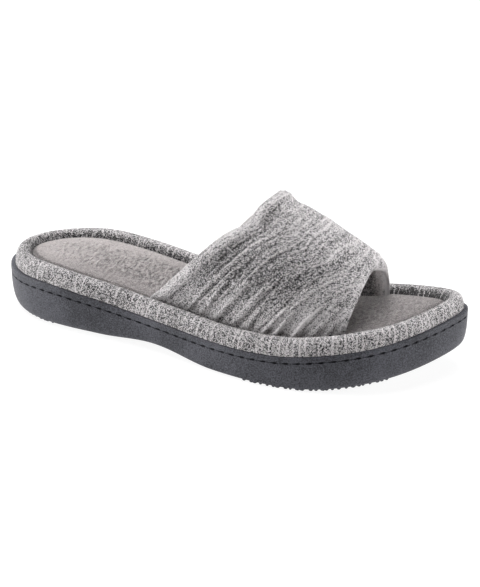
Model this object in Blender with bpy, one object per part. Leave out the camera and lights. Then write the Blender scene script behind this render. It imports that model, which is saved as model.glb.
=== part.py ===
"""Open-toe slide slipper for a right foot, in the pieces that its maker puts together.

A moulded outsole carries a padded rim, a footbed and one knit upper that arches over the forefoot.
+X points to the toe, +Y to the inner side of the foot and +Z up. The origin is on the floor, under
the middle of the outsole. Tables and sizes are in millimetres, and the meshes are in metres.
"""

from collections import namedtuple

import bmesh
import bpy
import numpy as np

MM = 0.001
GAP = 0.3  # clearance between pieces that touch

# Outline of the outsole seen from above: along from the heel, across to the inner side
OutlinePoint = namedtuple("OutlinePoint", "along across")
OUTLINE = (
    OutlinePoint(along=0.8, across=-1),  # back of the heel
    OutlinePoint(along=13, across=-24),
    OutlinePoint(along=42, across=-36),  # heel, outer side
    OutlinePoint(along=99, across=-38.5),  # waist, outer side
    OutlinePoint(along=166, across=-51),  # ball, outer side
    OutlinePoint(along=206, across=-48),
    OutlinePoint(along=237, across=-33.5),  # little toe
    OutlinePoint(along=258.5, across=-4),
    OutlinePoint(along=262.5, across=22),  # big toe
    OutlinePoint(along=240, across=37),
    OutlinePoint(along=191, across=41.5),  # ball, inner side
    OutlinePoint(along=112, across=37),  # arch, inner side
    OutlinePoint(along=43, across=36.5),  # heel, inner side
    OutlinePoint(along=15, across=24.5),
)

# Stations of the outsole: heights of its top edge and of its band, how far its foot is drawn in under
# that edge, and how far the rim stands back from it
SoleStation = namedtuple("SoleStation", "along top_edge band foot_inset rim_setback")
SOLE_STATIONS = (
    SoleStation(along=0, top_edge=24.0, band=4.2, foot_inset=4.2, rim_setback=2.8),
    SoleStation(along=15, top_edge=24.6, band=4.1, foot_inset=3.8, rim_setback=1.9),
    SoleStation(along=42, top_edge=25.2, band=3.9, foot_inset=3.8, rim_setback=0.8),
    SoleStation(along=70, top_edge=22.6, band=3.5, foot_inset=4.0, rim_setback=0.7),
    SoleStation(along=100, top_edge=18.8, band=3.1, foot_inset=2.6, rim_setback=0.7),
    SoleStation(along=132, top_edge=17.2, band=2.9, foot_inset=0.9, rim_setback=0.7),
    SoleStation(along=165, top_edge=17.2, band=2.7, foot_inset=0.8, rim_setback=0.7),
    SoleStation(along=190, top_edge=18.4, band=2.7, foot_inset=0.9, rim_setback=0.7),
    SoleStation(along=210, top_edge=21.2, band=2.6, foot_inset=2.0, rim_setback=0.7),
    SoleStation(along=236, top_edge=25.5, band=2.5, foot_inset=3.5, rim_setback=0.9),
    SoleStation(along=262, top_edge=29.2, band=2.4, foot_inset=3.0, rim_setback=3.2),
)

# Underside of the outsole: flat under heel and ball, raised at the arch, the toe and the heel's edge
HEEL_LIFT = 2.5
HEEL_FLAT_START = 36.0
HEEL_FLAT_END = 72.0
ARCH_RISE_OUTER = 1.6
ARCH_RISE_INNER = 4.5
ARCH_HALF_WIDTH = 38.5
BALL_FLAT_START = 126.0
BALL_FLAT_END = 195.0
TOE_SPRING = 10.0
TOE_SPRING_RUN = 60.0
TOE_SPRING_POWER = 1.7

# Side of the outsole: under its band a moulded groove, and a wall that rounds under to the foot
GROOVE_WIDTH = 1.3
GROOVE_DEPTH = 0.9
TOP_CHAMFER = 0.7
WALL_SQUARENESS = 2.3
WALL_STEPS = 5

# Tread lugs in two fields, one under the heel and one under the ball
LUG_HEIGHT = 1.2
LUG_MARGIN = 0.7
TreadField = namedtuple("TreadField", "start end")
TREAD_FIELDS = (TreadField(start=24, end=72), TreadField(start=124, end=226))

# Padded rim: a stuffed roll that stands on the outsole's edge
RIM_INNER_EDGE = 11.8  # how far its inner edge lies inside the outsole's edge
RIM_HEIGHT = 8.4
RIM_SQUARENESS = 2.1
RIM_STEPS = 7

# Upper: the knit band over the forefoot, with its padded wall
UPPER_WALL = 4.0
UPPER_FULLNESS = 2.08
CROWN_SHIFT = 3.0  # how far the crown lies to the inner side
SIDE_LEAN_POWER = 0.85  # below 1, the rear edge bows back on its way up to the crown
REAR_OUTER, REAR_CROWN, REAR_INNER = 95.0, 163.5, 99.0
FRONT_OUTER, FRONT_CROWN, FRONT_INNER = 213.5, 216.0, 214.0
UpperStation = namedtuple("UpperStation", "along crown")
UPPER_STATIONS = (
    UpperStation(along=96, crown=108.0),
    UpperStation(along=130, crown=97.0),
    UpperStation(along=156, crown=88.0),
    UpperStation(along=164, crown=86.0),
    UpperStation(along=172, crown=83.4),
    UpperStation(along=182, crown=79.2),
    UpperStation(along=198, crown=70.2),
    UpperStation(along=220, crown=56.2),
)
UPPER_LENGTH_STEPS = 14
UPPER_ARCH_STEPS = 34
UPPER_HEM_STEPS = 4

# Footbed: a soft pad inside the rim, notched where the upper goes down beside it
FOOTBED_EDGE = 5.8
FOOTBED_CROWN = 1.2
FOOTBED_ROUND = 1.5
NOTCH_RAMP = 9.0
NOTCH_MARGIN = 7.0

# Mesh density: rungs from heel to toe, and cells across the tread and the footbed
RUNGS = 60
TREAD_CELLS = 12
FOOTBED_CELLS = 6
DECK_CELLS = 2
OUTLINE_SAMPLES = 4800

# Colours of the finishes, as linear red, green and blue
RUBBER_GREY = (0.075, 0.079, 0.086)
KNIT_GREY = (0.32, 0.31, 0.31)
PLUSH_GREY = (0.40, 0.37, 0.36)


def column(table, name):
    """One named column of a table, as an array."""
    return np.array([getattr(row, name) for row in table], float)


def smooth_table(along, table, name):
    """A table's column at the places along: a cubic through the rows, with slopes between neighbours."""
    x, y = column(table, "along"), column(table, name)
    slope = np.gradient(y, x)
    at = np.clip(along, x[0], x[-1])
    k = np.clip(np.searchsorted(x, at, side="right") - 1, 0, len(x) - 2)
    step = x[k + 1] - x[k]
    t = (at - x[k]) / step
    start = (1 + 2 * t) * (1 - t) ** 2 * y[k] + t * (1 - t) ** 2 * step * slope[k]
    end = t * t * (3 - 2 * t) * y[k + 1] + t * t * (t - 1) * step * slope[k + 1]
    return start + end


def smooth_step(value):
    """0 below 0, 1 above 1, and a smooth ramp between."""
    t = np.clip(value, 0, 1)
    return t * t * (3 - 2 * t)


def closed_spline(points, count):
    """A smooth closed curve through the points: the periodic cubic spline over their chord lengths."""
    points = np.asarray(points, float)
    n = len(points)
    after = np.roll(points, -1, axis=0)
    chord = np.linalg.norm(after - points, axis=1)
    before_chord = np.roll(chord, 1)
    slope = (after - points) / chord[:, None]
    system = np.zeros((n, n))
    here = np.arange(n)
    system[here, here] = 2 * (before_chord + chord)
    system[here, here - 1] += before_chord
    system[here, (here + 1) % n] += chord
    bend = np.linalg.solve(system, 6 * (slope - np.roll(slope, 1, axis=0)))
    knots = np.concatenate([[0], np.cumsum(chord)])
    at = np.linspace(0, knots[-1], count, endpoint=False)
    k = np.searchsorted(knots, at, side="right") - 1
    right = ((at - knots[k]) / chord[k])[:, None]
    left = 1 - right
    curve = left * points[k] + right * after[k]
    sag = (left**3 - left) * bend[k] + (right**3 - right) * bend[(k + 1) % n]
    return curve + sag * chord[k][:, None] ** 2 / 6


class Outline:
    """The outsole's edge as one loop of columns: heel, outer side, toe and back along the inner side."""

    def __init__(self):
        loop = closed_spline(OUTLINE, OUTLINE_SAMPLES)
        loop = np.roll(loop, -loop[:, 0].argmin(), axis=0)
        middle = (loop.min(axis=0) + loop.max(axis=0)) / 2
        toe = loop[:, 0].argmax()
        outer, inner = loop[: toe + 1], np.vstack([loop[:1], loop[:toe - 1:-1]])
        share = (1 - np.cos(np.linspace(0, np.pi, RUNGS + 1))) / 2
        rungs = loop[0, 0] + share * (loop[toe, 0] - loop[0, 0])
        outer_side = np.interp(rungs, outer[:, 0], outer[:, 1])
        inner_side = np.interp(rungs, inner[:, 0], inner[:, 1])
        self.along = np.concatenate([rungs, rungs[-2:0:-1]])
        across = np.concatenate([outer_side, inner_side[-2:0:-1]])
        self.edge = np.column_stack([self.along, across])
        tangent = np.roll(self.edge, -1, axis=0) - np.roll(self.edge, 1, axis=0)
        self.outward = np.column_stack([tangent[:, 1], -tangent[:, 0]])
        self.outward /= np.linalg.norm(self.outward, axis=1)[:, None]
        self.top = smooth_table(self.along, SOLE_STATIONS, "top_edge")
        self.middle = np.array([middle[0], middle[1], 0])

    def ring(self, inset, height):
        """The loop drawn in by inset, at a height; either may change from column to column."""
        inset = np.broadcast_to(inset, self.along.shape)
        flat = self.edge - self.outward * inset[:, None]
        return np.column_stack([flat, np.broadcast_to(height, self.along.shape)])

    def over_deck(self, inset, rise):
        """The loop drawn in by inset, at a rise over the outsole's deck."""
        ring = self.ring(inset, rise)
        ring[:, 2] += smooth_table(ring[:, 0], SOLE_STATIONS, "top_edge")
        return ring

    def side_line(self, inset, inner_side):
        """One side of the loop drawn in by inset, from heel to toe."""
        loop = self.ring(inset, 0.0)[:, :2]
        if inner_side:
            return np.vstack([loop[:1], loop[:RUNGS - 1:-1]])
        return loop[: RUNGS + 1]


def rungs_across(ring, cells):
    """Rows of points from a ring's outer side straight over to its inner side, rung by rung."""
    outer = ring[: RUNGS + 1]
    inner = np.vstack([ring[:1], ring[:RUNGS - 1:-1]])
    share = np.linspace(0, 1, cells + 1)[None, :, None]
    return outer[:, None, :] * (1 - share) + inner[:, None, :] * share


def add_grid(bm, grid, wrap_rows=False, wrap_columns=False):
    """Adds a grid of points to a mesh as quads, and returns the faces by row and column."""
    rows, columns = grid.shape[:2]
    points = [[bm.verts.new(point) for point in row] for row in grid]
    faces = {}
    for r in range(rows if wrap_rows else rows - 1):
        for c in range(columns if wrap_columns else columns - 1):
            below, beside = (r + 1) % rows, (c + 1) % columns
            corners = (points[r][c], points[below][c], points[below][beside], points[r][beside])
            faces[r, c] = bm.faces.new(corners)
    return faces


def close_mesh(bm, weld=0.001):
    """Joins the grids along their shared edges, drops what collapsed there and turns the faces out."""
    bmesh.ops.remove_doubles(bm, verts=bm.verts, dist=weld)
    bmesh.ops.dissolve_degenerate(bm, edges=bm.edges, dist=weld)
    bmesh.ops.recalc_face_normals(bm, faces=bm.faces)


def make_object(name, bm, outline, material, sharp_angle):
    """One named piece: its mesh in metres, about the middle of the outsole."""
    for vert in bm.verts:
        vert.co = (np.array(vert.co) - outline.middle) * MM
    mesh = bpy.data.meshes.new(name)
    bm.to_mesh(mesh)
    bm.free()
    mesh.shade_smooth()
    mesh.set_sharp_from_angle(angle=np.radians(sharp_angle))
    mesh.materials.append(material)
    piece = bpy.data.objects.new(name, mesh)
    bpy.context.scene.collection.objects.link(piece)
    return piece


def make_material(name, colour, roughness):
    """A plain finish with no metal in it."""
    material = bpy.data.materials.new(name)
    material.use_nodes = True
    shader = material.node_tree.nodes["Principled BSDF"]
    shader.inputs["Base Color"].default_value = (*colour, 1)
    shader.inputs["Roughness"].default_value = roughness
    shader.inputs["Metallic"].default_value = 0
    return material


def floor_clearance(along, across):
    """How high the tread's lowest points stand over the floor."""
    heel = HEEL_LIFT * np.clip(1 - along / HEEL_FLAT_START, 0, 1) ** 2
    arch_share = np.clip((along - HEEL_FLAT_END) / (BALL_FLAT_START - HEEL_FLAT_END), 0, 1)
    inner_share = np.clip((across + ARCH_HALF_WIDTH) / (2 * ARCH_HALF_WIDTH), 0, 1)
    arch = ARCH_RISE_OUTER + (ARCH_RISE_INNER - ARCH_RISE_OUTER) * inner_share
    toe_share = np.clip((along - BALL_FLAT_END) / TOE_SPRING_RUN, 0, None)
    return heel + arch * np.sin(np.pi * arch_share) ** 2 + TOE_SPRING * toe_share**TOE_SPRING_POWER


def in_tread(along):
    """Whether a place along the sole lies in one of the tread fields."""
    return any(field.start <= along <= field.end for field in TREAD_FIELDS)


def sole_profile(outline):
    """Rings of the outsole's side, from the deck's edge over the band and groove down to its foot."""
    band_foot = outline.top - smooth_table(outline.along, SOLE_STATIONS, "band")
    rings = [
        outline.over_deck(TOP_CHAMFER, 0),
        outline.ring(0, outline.top - TOP_CHAMFER),
        outline.ring(0, band_foot),
        outline.ring(GROOVE_DEPTH, band_foot - GROOVE_WIDTH / 2),
    ]
    foot_inset = smooth_table(outline.along, SOLE_STATIONS, "foot_inset")
    foot = outline.ring(foot_inset, 0)
    foot_height = floor_clearance(foot[:, 0], foot[:, 1]) + LUG_HEIGHT
    wall_top = band_foot - GROOVE_WIDTH
    for step in range(WALL_STEPS + 1):
        angle = np.pi / 2 * step / WALL_STEPS
        inward = 1 - np.cos(angle) ** (2 / WALL_SQUARENESS)
        down = np.sin(angle) ** (2 / WALL_SQUARENESS)
        if step == WALL_STEPS:
            inward = down = 1.0
        rings.append(outline.ring(foot_inset * inward, wall_top + (foot_height - wall_top) * down))
    return rings


def make_outsole(outline, material):
    """The moulded outsole: flat deck, grooved side, arch, toe spring and tread lugs."""
    bm = bmesh.new()
    rings = sole_profile(outline)
    add_grid(bm, np.array(rings), wrap_columns=True)
    add_grid(bm, rungs_across(rings[0], DECK_CELLS))
    underside = rungs_across(rings[-1], TREAD_CELLS)
    underside[..., 2] = floor_clearance(underside[..., 0], underside[..., 1]) + LUG_HEIGHT
    cells = add_grid(bm, underside)
    lugs = [
        face
        for (row, cell), face in cells.items()
        if (row + cell) % 2 == 0 and in_tread(face.calc_center_median().x)
    ]
    bm.normal_update()
    bmesh.ops.inset_individual(bm, faces=lugs, thickness=LUG_MARGIN)
    for face in lugs:
        for vert in face.verts:
            vert.co.z = floor_clearance(vert.co.x, vert.co.y)
    close_mesh(bm)
    return make_object("outsole", bm, outline, material, sharp_angle=30)


def make_rim(outline, material):
    """The padded rim: a flat-bottomed roll carried round the outsole's edge."""
    bm = bmesh.new()
    setback = smooth_table(outline.along, SOLE_STATIONS, "rim_setback")
    rings = []
    for step in range(RIM_STEPS + 1):
        angle = np.pi * step / RIM_STEPS
        across = np.sign(np.cos(angle)) * abs(np.cos(angle)) ** (2 / RIM_SQUARENESS)
        rise = max(np.sin(angle), 0) ** (2 / RIM_SQUARENESS)
        inset = setback + (RIM_INNER_EDGE - setback) * (1 - across) / 2
        rings.append(outline.over_deck(inset, GAP + RIM_HEIGHT * rise))
    add_grid(bm, np.array(rings), wrap_rows=True, wrap_columns=True)
    close_mesh(bm)
    return make_object("rim", bm, outline, material, sharp_angle=50)


def footbed_inset(outline):
    """How far the footbed's edge lies inside the outsole's, with room for the upper on both sides."""
    beside_rim = RIM_INNER_EDGE + GAP
    behind = smooth_step((outline.along - REAR_OUTER + NOTCH_MARGIN + NOTCH_RAMP) / NOTCH_RAMP)
    ahead = smooth_step((FRONT_INNER + NOTCH_MARGIN + NOTCH_RAMP - outline.along) / NOTCH_RAMP)
    return beside_rim + np.minimum(behind, ahead) * (UPPER_WALL + GAP)


def make_footbed(outline, material):
    """The footbed: a pad with a rounded edge and a gentle crown, lying on the deck."""
    bm = bmesh.new()
    inset = footbed_inset(outline)
    rings = [
        outline.over_deck(inset, GAP),
        outline.over_deck(inset, GAP + FOOTBED_EDGE - FOOTBED_ROUND),
        outline.over_deck(inset + FOOTBED_ROUND / 3, GAP + FOOTBED_EDGE - FOOTBED_ROUND / 3),
        outline.over_deck(inset + FOOTBED_ROUND, GAP + FOOTBED_EDGE),
    ]
    add_grid(bm, np.array(rings), wrap_columns=True)
    add_grid(bm, rungs_across(rings[0], DECK_CELLS))
    top = rungs_across(rings[-1], FOOTBED_CELLS)
    share = np.linspace(-1, 1, FOOTBED_CELLS + 1)
    width = np.linalg.norm(top[:, -1] - top[:, 0], axis=1)
    top[..., 2] += FOOTBED_CROWN * (width / width.max())[:, None] * (1 - share**2)
    add_grid(bm, top)
    close_mesh(bm)
    return make_object("footbed", bm, outline, material, sharp_angle=50)


class UpperForm:
    """The outer face of the upper as a function of two shares: rear to front, and outer to inner side."""

    def __init__(self, outline):
        foot = RIM_INNER_EDGE + GAP
        self.outer = outline.side_line(foot, inner_side=False)
        self.inner = outline.side_line(foot, inner_side=True)

    def edges(self, arch):
        """Where the rear and the front edge lie along the foot, at shares of the arch."""
        rise = np.sin(np.pi * arch)
        rear_foot = np.where(arch < 0.5, REAR_OUTER, REAR_INNER)
        front_foot = np.where(arch < 0.5, FRONT_OUTER, FRONT_INNER)
        rear = rear_foot + (REAR_CROWN - rear_foot) * rise**SIDE_LEAN_POWER
        return rear, front_foot + (FRONT_CROWN - front_foot) * rise

    def face(self, length, arch):
        """Points of the outer face: an arch from foot to foot whose height is the crown's at that place."""
        rear, front = self.edges(arch)
        along = rear + (front - rear) * length
        turn = -np.cos(np.pi * arch)
        power = 2 / UPPER_FULLNESS
        across = np.sign(turn) * np.abs(turn) ** power
        rise = np.maximum(np.sin(np.pi * arch), 0) ** power
        outer_foot = np.interp(along, self.outer[:, 0], self.outer[:, 1])
        inner_foot = np.interp(along, self.inner[:, 0], self.inner[:, 1])
        side = (outer_foot + inner_foot) / 2 + across * (inner_foot - outer_foot) / 2
        foot = smooth_table(along, SOLE_STATIONS, "top_edge") + GAP
        crown = smooth_table(along, UPPER_STATIONS, "crown")
        return np.stack([along, side + CROWN_SHIFT * rise**2, foot + (crown - foot) * rise], axis=-1)


def unit(vectors):
    """The vectors, each made one long."""
    return vectors / np.linalg.norm(vectors, axis=-1, keepdims=True)


def make_upper(outline, material):
    """The upper: one wall of even thickness over the forefoot, with a round hem at both open ends."""
    bm = bmesh.new()
    form = UpperForm(outline)
    length = np.linspace(0, 1, UPPER_LENGTH_STEPS + 1)[:, None]
    arch = np.linspace(0, 1, UPPER_ARCH_STEPS + 1)[None, :]
    face = form.face(length, arch)
    forward = unit(np.gradient(face, axis=0))
    over = unit(np.gradient(face, axis=1))
    outward = unit(np.cross(forward, over))
    outward[:, [0, -1], 2] = 0
    outward = unit(outward)
    half_wall = UPPER_WALL / 2
    centre = face - outward * half_wall

    def hem(end, direction):
        """Rows of a half-round hem from the outer face to the inner one, past one end of the wall."""
        turns = np.pi * np.arange(1, UPPER_HEM_STEPS) / UPPER_HEM_STEPS
        rows = []
        for turn in turns:
            reach = outward[end] * np.cos(turn) + direction[end] * np.sin(turn)
            rows.append(centre[end] + half_wall * reach)
        return rows

    loop = [*face, *hem(-1, forward), *(centre - outward * half_wall)[::-1]]
    loop += hem(0, -forward)[::-1]
    add_grid(bm, np.array(loop), wrap_rows=True)
    close_mesh(bm)
    bmesh.ops.holes_fill(bm, edges=[edge for edge in bm.edges if edge.is_boundary])
    bmesh.ops.recalc_face_normals(bm, faces=bm.faces)
    return make_object("upper", bm, outline, material, sharp_angle=50)


def main():
    for old in list(bpy.data.objects):
        bpy.data.objects.remove(old)
    outline = Outline()
    rubber = make_material("rubber", RUBBER_GREY, roughness=0.55)
    knit = make_material("knit", KNIT_GREY, roughness=0.95)
    plush = make_material("plush", PLUSH_GREY, roughness=1.0)
    make_outsole(outline, rubber)
    make_rim(outline, knit)
    make_footbed(outline, plush)
    make_upper(outline, knit)


main()
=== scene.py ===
"""Looks of an open-toe slide slipper: moulded outsole, padded knit rim, plush footbed and padded knit upper.

Run as a script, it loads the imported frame, makes every piece with its finish and sets the stage.
All work is in metres. Surfaces are worked out with the heel's back near x = 0, and moved to the frame's
origin, under the middle of the outsole, when they become a mesh.
"""

import math
from collections import namedtuple

import bmesh
import bpy
import numpy as np
from bpy.props import FloatProperty, FloatVectorProperty, IntProperty, PointerProperty
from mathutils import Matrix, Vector


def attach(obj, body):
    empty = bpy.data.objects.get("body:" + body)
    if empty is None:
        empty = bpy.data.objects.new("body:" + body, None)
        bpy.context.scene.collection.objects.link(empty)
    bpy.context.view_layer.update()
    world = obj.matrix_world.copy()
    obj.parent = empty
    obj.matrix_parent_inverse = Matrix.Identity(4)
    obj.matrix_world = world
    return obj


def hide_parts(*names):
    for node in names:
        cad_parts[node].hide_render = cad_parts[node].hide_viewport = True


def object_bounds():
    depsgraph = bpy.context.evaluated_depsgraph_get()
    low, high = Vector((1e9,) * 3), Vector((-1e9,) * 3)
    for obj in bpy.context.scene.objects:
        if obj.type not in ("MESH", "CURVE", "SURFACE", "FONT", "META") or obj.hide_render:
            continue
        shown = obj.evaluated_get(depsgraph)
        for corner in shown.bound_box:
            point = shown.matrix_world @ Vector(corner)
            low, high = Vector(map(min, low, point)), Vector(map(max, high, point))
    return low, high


bl_info = {
    "name": "Slide slipper",
    "version": (1, 0, 0),
    "blender": (4, 5, 0),
    "location": "View3D > Sidebar > Slipper",
    "description": "Makes the pieces and finishes of an open-toe slide slipper around its packed frame",
    "category": "Add Mesh",
}

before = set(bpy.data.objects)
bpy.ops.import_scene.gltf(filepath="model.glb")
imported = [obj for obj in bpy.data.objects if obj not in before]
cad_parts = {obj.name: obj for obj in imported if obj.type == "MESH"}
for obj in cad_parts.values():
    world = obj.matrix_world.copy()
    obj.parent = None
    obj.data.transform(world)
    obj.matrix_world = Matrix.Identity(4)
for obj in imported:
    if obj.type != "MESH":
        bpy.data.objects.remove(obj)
CAD_BOX = [list(corner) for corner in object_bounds()]
MM = 0.001

# Points closer than WELD become one, and GAP is the clearance between pieces
WELD = 1e-6
GAP = 0.3 * MM

# Outline of the outsole seen from above, in millimetres: along from the heel, across to the inner side
OutlinePoint = namedtuple("OutlinePoint", "along across")
OUTLINE = (
    OutlinePoint(along=0.8, across=-1),  # back of the heel
    OutlinePoint(along=13, across=-24),
    OutlinePoint(along=42, across=-36),  # heel, outer side
    OutlinePoint(along=99, across=-38.5),  # waist, outer side
    OutlinePoint(along=166, across=-51),  # ball, outer side
    OutlinePoint(along=206, across=-48),
    OutlinePoint(along=237, across=-33.5),  # little toe
    OutlinePoint(along=258.5, across=-4),
    OutlinePoint(along=262.5, across=22),  # big toe
    OutlinePoint(along=240, across=37),
    OutlinePoint(along=191, across=41.5),  # ball, inner side
    OutlinePoint(along=112, across=37),  # arch, inner side
    OutlinePoint(along=43, across=36.5),  # heel, inner side
    OutlinePoint(along=15, across=24.5),
)

# Stations of the outsole, in millimetres: heights of its top edge and of its band, how far its foot is
# drawn in under that edge, and how far the rim stands back from it
SoleStation = namedtuple("SoleStation", "along top_edge band foot_inset rim_setback")
SOLE_STATIONS = (
    SoleStation(along=0, top_edge=24.0, band=4.2, foot_inset=4.2, rim_setback=2.8),
    SoleStation(along=15, top_edge=24.6, band=4.1, foot_inset=3.8, rim_setback=1.9),
    SoleStation(along=42, top_edge=25.2, band=3.9, foot_inset=3.8, rim_setback=0.8),
    SoleStation(along=70, top_edge=22.6, band=3.5, foot_inset=4.0, rim_setback=0.7),
    SoleStation(along=100, top_edge=18.8, band=3.1, foot_inset=2.6, rim_setback=0.7),
    SoleStation(along=132, top_edge=17.2, band=2.9, foot_inset=0.9, rim_setback=0.7),
    SoleStation(along=165, top_edge=17.2, band=2.7, foot_inset=0.8, rim_setback=0.7),
    SoleStation(along=190, top_edge=18.4, band=2.7, foot_inset=0.9, rim_setback=0.7),
    SoleStation(along=210, top_edge=21.2, band=2.6, foot_inset=2.0, rim_setback=0.7),
    SoleStation(along=236, top_edge=26.1, band=2.5, foot_inset=3.5, rim_setback=0.9),
    SoleStation(along=262, top_edge=32.2, band=2.6, foot_inset=3.0, rim_setback=2.2),
)

# Crown of the upper along the foot, in millimetres
UpperStation = namedtuple("UpperStation", "along crown")
UPPER_STATIONS = (
    UpperStation(along=96, crown=108.0),
    UpperStation(along=130, crown=97.0),
    UpperStation(along=156, crown=88.0),
    UpperStation(along=164, crown=86.0),
    UpperStation(along=172, crown=83.4),
    UpperStation(along=182, crown=79.2),
    UpperStation(along=198, crown=70.2),
    UpperStation(along=220, crown=56.2),
)

# Raised ribs of the upper's knit. The place is in millimetres from the rear edge, as rib_place measures it,
# and the sweep is how much it changes to the rib's end. Start and end are shares of the arch from the outer
# foot, height and width are in millimetres.
UpperRib = namedtuple("UpperRib", "place sweep start end height width")
UPPER_RIBS = (
    UpperRib(place=22.7, sweep=-3.0, start=0.00, end=0.11, height=1.1, width=1.5),
    UpperRib(place=31.2, sweep=-4.0, start=0.01, end=0.12, height=1.0, width=1.3),
    UpperRib(place=40.4, sweep=-1.6, start=0.00, end=0.14, height=1.0, width=2.0),
    UpperRib(place=51.8, sweep=-0.2, start=0.01, end=0.18, height=1.1, width=1.7),
    UpperRib(place=61.0, sweep=-2.0, start=0.02, end=0.09, height=0.6, width=1.4),
    UpperRib(place=71.6, sweep=0.3, start=0.00, end=0.11, height=1.0, width=1.6),
    UpperRib(place=79.5, sweep=-6.8, start=0.02, end=0.18, height=0.9, width=1.8),
    UpperRib(place=90.6, sweep=-7.0, start=0.02, end=0.19, height=0.8, width=1.8),
    UpperRib(place=99.1, sweep=-4.0, start=0.03, end=0.15, height=0.7, width=1.7),
    UpperRib(place=106.0, sweep=-3.0, start=0.02, end=0.09, height=0.5, width=1.5),
    UpperRib(place=58.2, sweep=-4.4, start=0.17, end=0.33, height=0.7, width=1.8),
    UpperRib(place=60.0, sweep=-8.2, start=0.29, end=0.47, height=0.7, width=1.4),
    UpperRib(place=27.9, sweep=-3.3, start=0.33, end=0.48, height=0.6, width=1.3),
    UpperRib(place=40.0, sweep=-4.0, start=0.36, end=0.51, height=0.6, width=1.3),
    UpperRib(place=46.7, sweep=-1.8, start=0.43, end=0.55, height=0.5, width=1.2),
    UpperRib(place=24.0, sweep=-3.0, start=0.88, end=0.99, height=1.0, width=1.6),
    UpperRib(place=38.0, sweep=4.0, start=0.76, end=0.98, height=1.1, width=1.8),
    UpperRib(place=54.0, sweep=1.0, start=0.86, end=1.00, height=1.0, width=1.7),
    UpperRib(place=66.0, sweep=6.0, start=0.74, end=0.97, height=1.2, width=1.7),
    UpperRib(place=84.0, sweep=4.0, start=0.84, end=0.98, height=1.1, width=1.6),
    UpperRib(place=97.0, sweep=2.0, start=0.88, end=0.99, height=1.0, width=1.6),
)

# How much wider apart the ribs stand at the crown than at the feet, and how far they lean at the feet
RIB_FAN = 0.43
RIB_LEAN = math.radians(43)

# Streaks of the yarn, in millimetres. A layer of noise has the width of its streaks, their reach, its weight
# and a seed. Of thin light lines there is one in each pitch, and their width is a share of it.
StreakLayer = namedtuple("StreakLayer", "width reach weight seed")
ThinLines = namedtuple("ThinLines", "pitch reach width weight seed")
RIM_SHADE = 0.43
RIM_LAYERS = (
    StreakLayer(width=2.2, reach=11, weight=0.10, seed=12),
    StreakLayer(width=13, reach=11, weight=0.20, seed=13),
)
RIM_LINES = ThinLines(pitch=3.4, reach=8, width=0.12, weight=0.55, seed=11)
UPPER_SHADE = 0.455
UPPER_LAYERS = (
    StreakLayer(width=7.5, reach=60, weight=0.08, seed=41),
    StreakLayer(width=3.4, reach=34, weight=0.18, seed=42),
    StreakLayer(width=1.9, reach=24, weight=0.30, seed=43),
    StreakLayer(width=22, reach=80, weight=0.05, seed=44),
)
UPPER_LINES = ThinLines(pitch=4.3, reach=24, width=0.17, weight=0.30, seed=51)

# Relief of the upper's streaks and of its grain, the painted light on its inner face, and how much
# lighter its ribs are, with painted shade in the valleys beside them
STREAK_RELIEF = 1.0 * MM
GRAIN_RELIEF = 0.4 * MM
INNER_PAINTED_LIGHT = 0.4
RIB_TONE_AND_SHADE = 0.07 / MM

# Lining: its clearance from the knit, and how much thinner it is at its ends
LINING_CLEARANCE = 0.1 * MM
LINING_THINNED = 0.5 * MM

# Lumps of the rim, and the painted shade on its inner face, with the extra at the toe
RIM_LUMP_LENGTH = 21.0 * MM
RIM_LUMP_SHARE = 0.05
INNER_FACE_PAINTED_SHADE = 0.22
TOE_FACE_PAINTED_SHADE = 0.20

# Directions over and along the nap of the pile, as waves in a metre
NAP_DIRECTIONS = ((-40.0, 185.0, 0.0), (430.0, 92.0, 0.0))

# Side of the outsole. Between its mock stitches the groove keeps a share of its depth, width and painted
# shade.
# A stitch starts to open earlier by its lead, and closes over its fall, both as shares of the pitch.
ROUND_TOP = 0.7 * MM
BAND_SWELL = 0.12 * MM
WALL_SQUARENESS = 2.3
CLOSED_DEPTH = 0.25
CLOSED_WIDTH = 0.35
CLOSED_PAINTED_SHADE = 0.2
STITCH_LEAD = 0.2
STITCH_FALL = 0.15

# Tread: its fields along the foot in millimetres, the rungs and cells of its grid, and the lugs' margin in
# their cells and their squareness
TreadField = namedtuple("TreadField", "start end")
TREAD_FIELDS = (TreadField(start=24, end=72), TreadField(start=142, end=222))
TREAD_RUNGS = 60
TREAD_CELLS = 12
LUG_MARGIN = 0.5 * MM
LUG_POWER = 0.45

# Small nubs along the foot's edge: their fields, row and pitch, how far in and how wide they are as shares of
# the row, and how long and how far out of step as shares of the pitch
NUB_FIELDS = (TreadField(start=21, end=42), TreadField(start=166, end=238))
NUB_ROW = 2.6 * MM
NUB_PITCH = 3.3 * MM
NUB_POWER = 0.7
NUB_INSET = 0.45
NUB_HALF_WIDTH = 0.42
NUB_HALF_LENGTHS = (0.2, 0.45)
NUB_SHIFT = 0.5

# Underside of the outsole: flat under heel and ball, raised at the arch, the toe and the heel's edge
HEEL_LIFT = 2.5 * MM
HEEL_FLAT_START = 36.0 * MM
HEEL_FLAT_END = 72.0 * MM
ARCH_RISE_OUTER = 2.7 * MM
ARCH_RISE_INNER = 4.5 * MM
ARCH_HALF_WIDTH = 38.5 * MM
BALL_FLAT_START = 148.0 * MM
BALL_FLAT_END = 195.0 * MM
TOE_SPRING = 10.0 * MM
TOE_SPRING_RUN = 60.0 * MM
TOE_SPRING_POWER = 1.7

# Points of the outline's spline, and about how high the upper's arch stands over the deck
OUTLINE_SAMPLES = 9600
UPPER_RISE = 62.0 * MM

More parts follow.
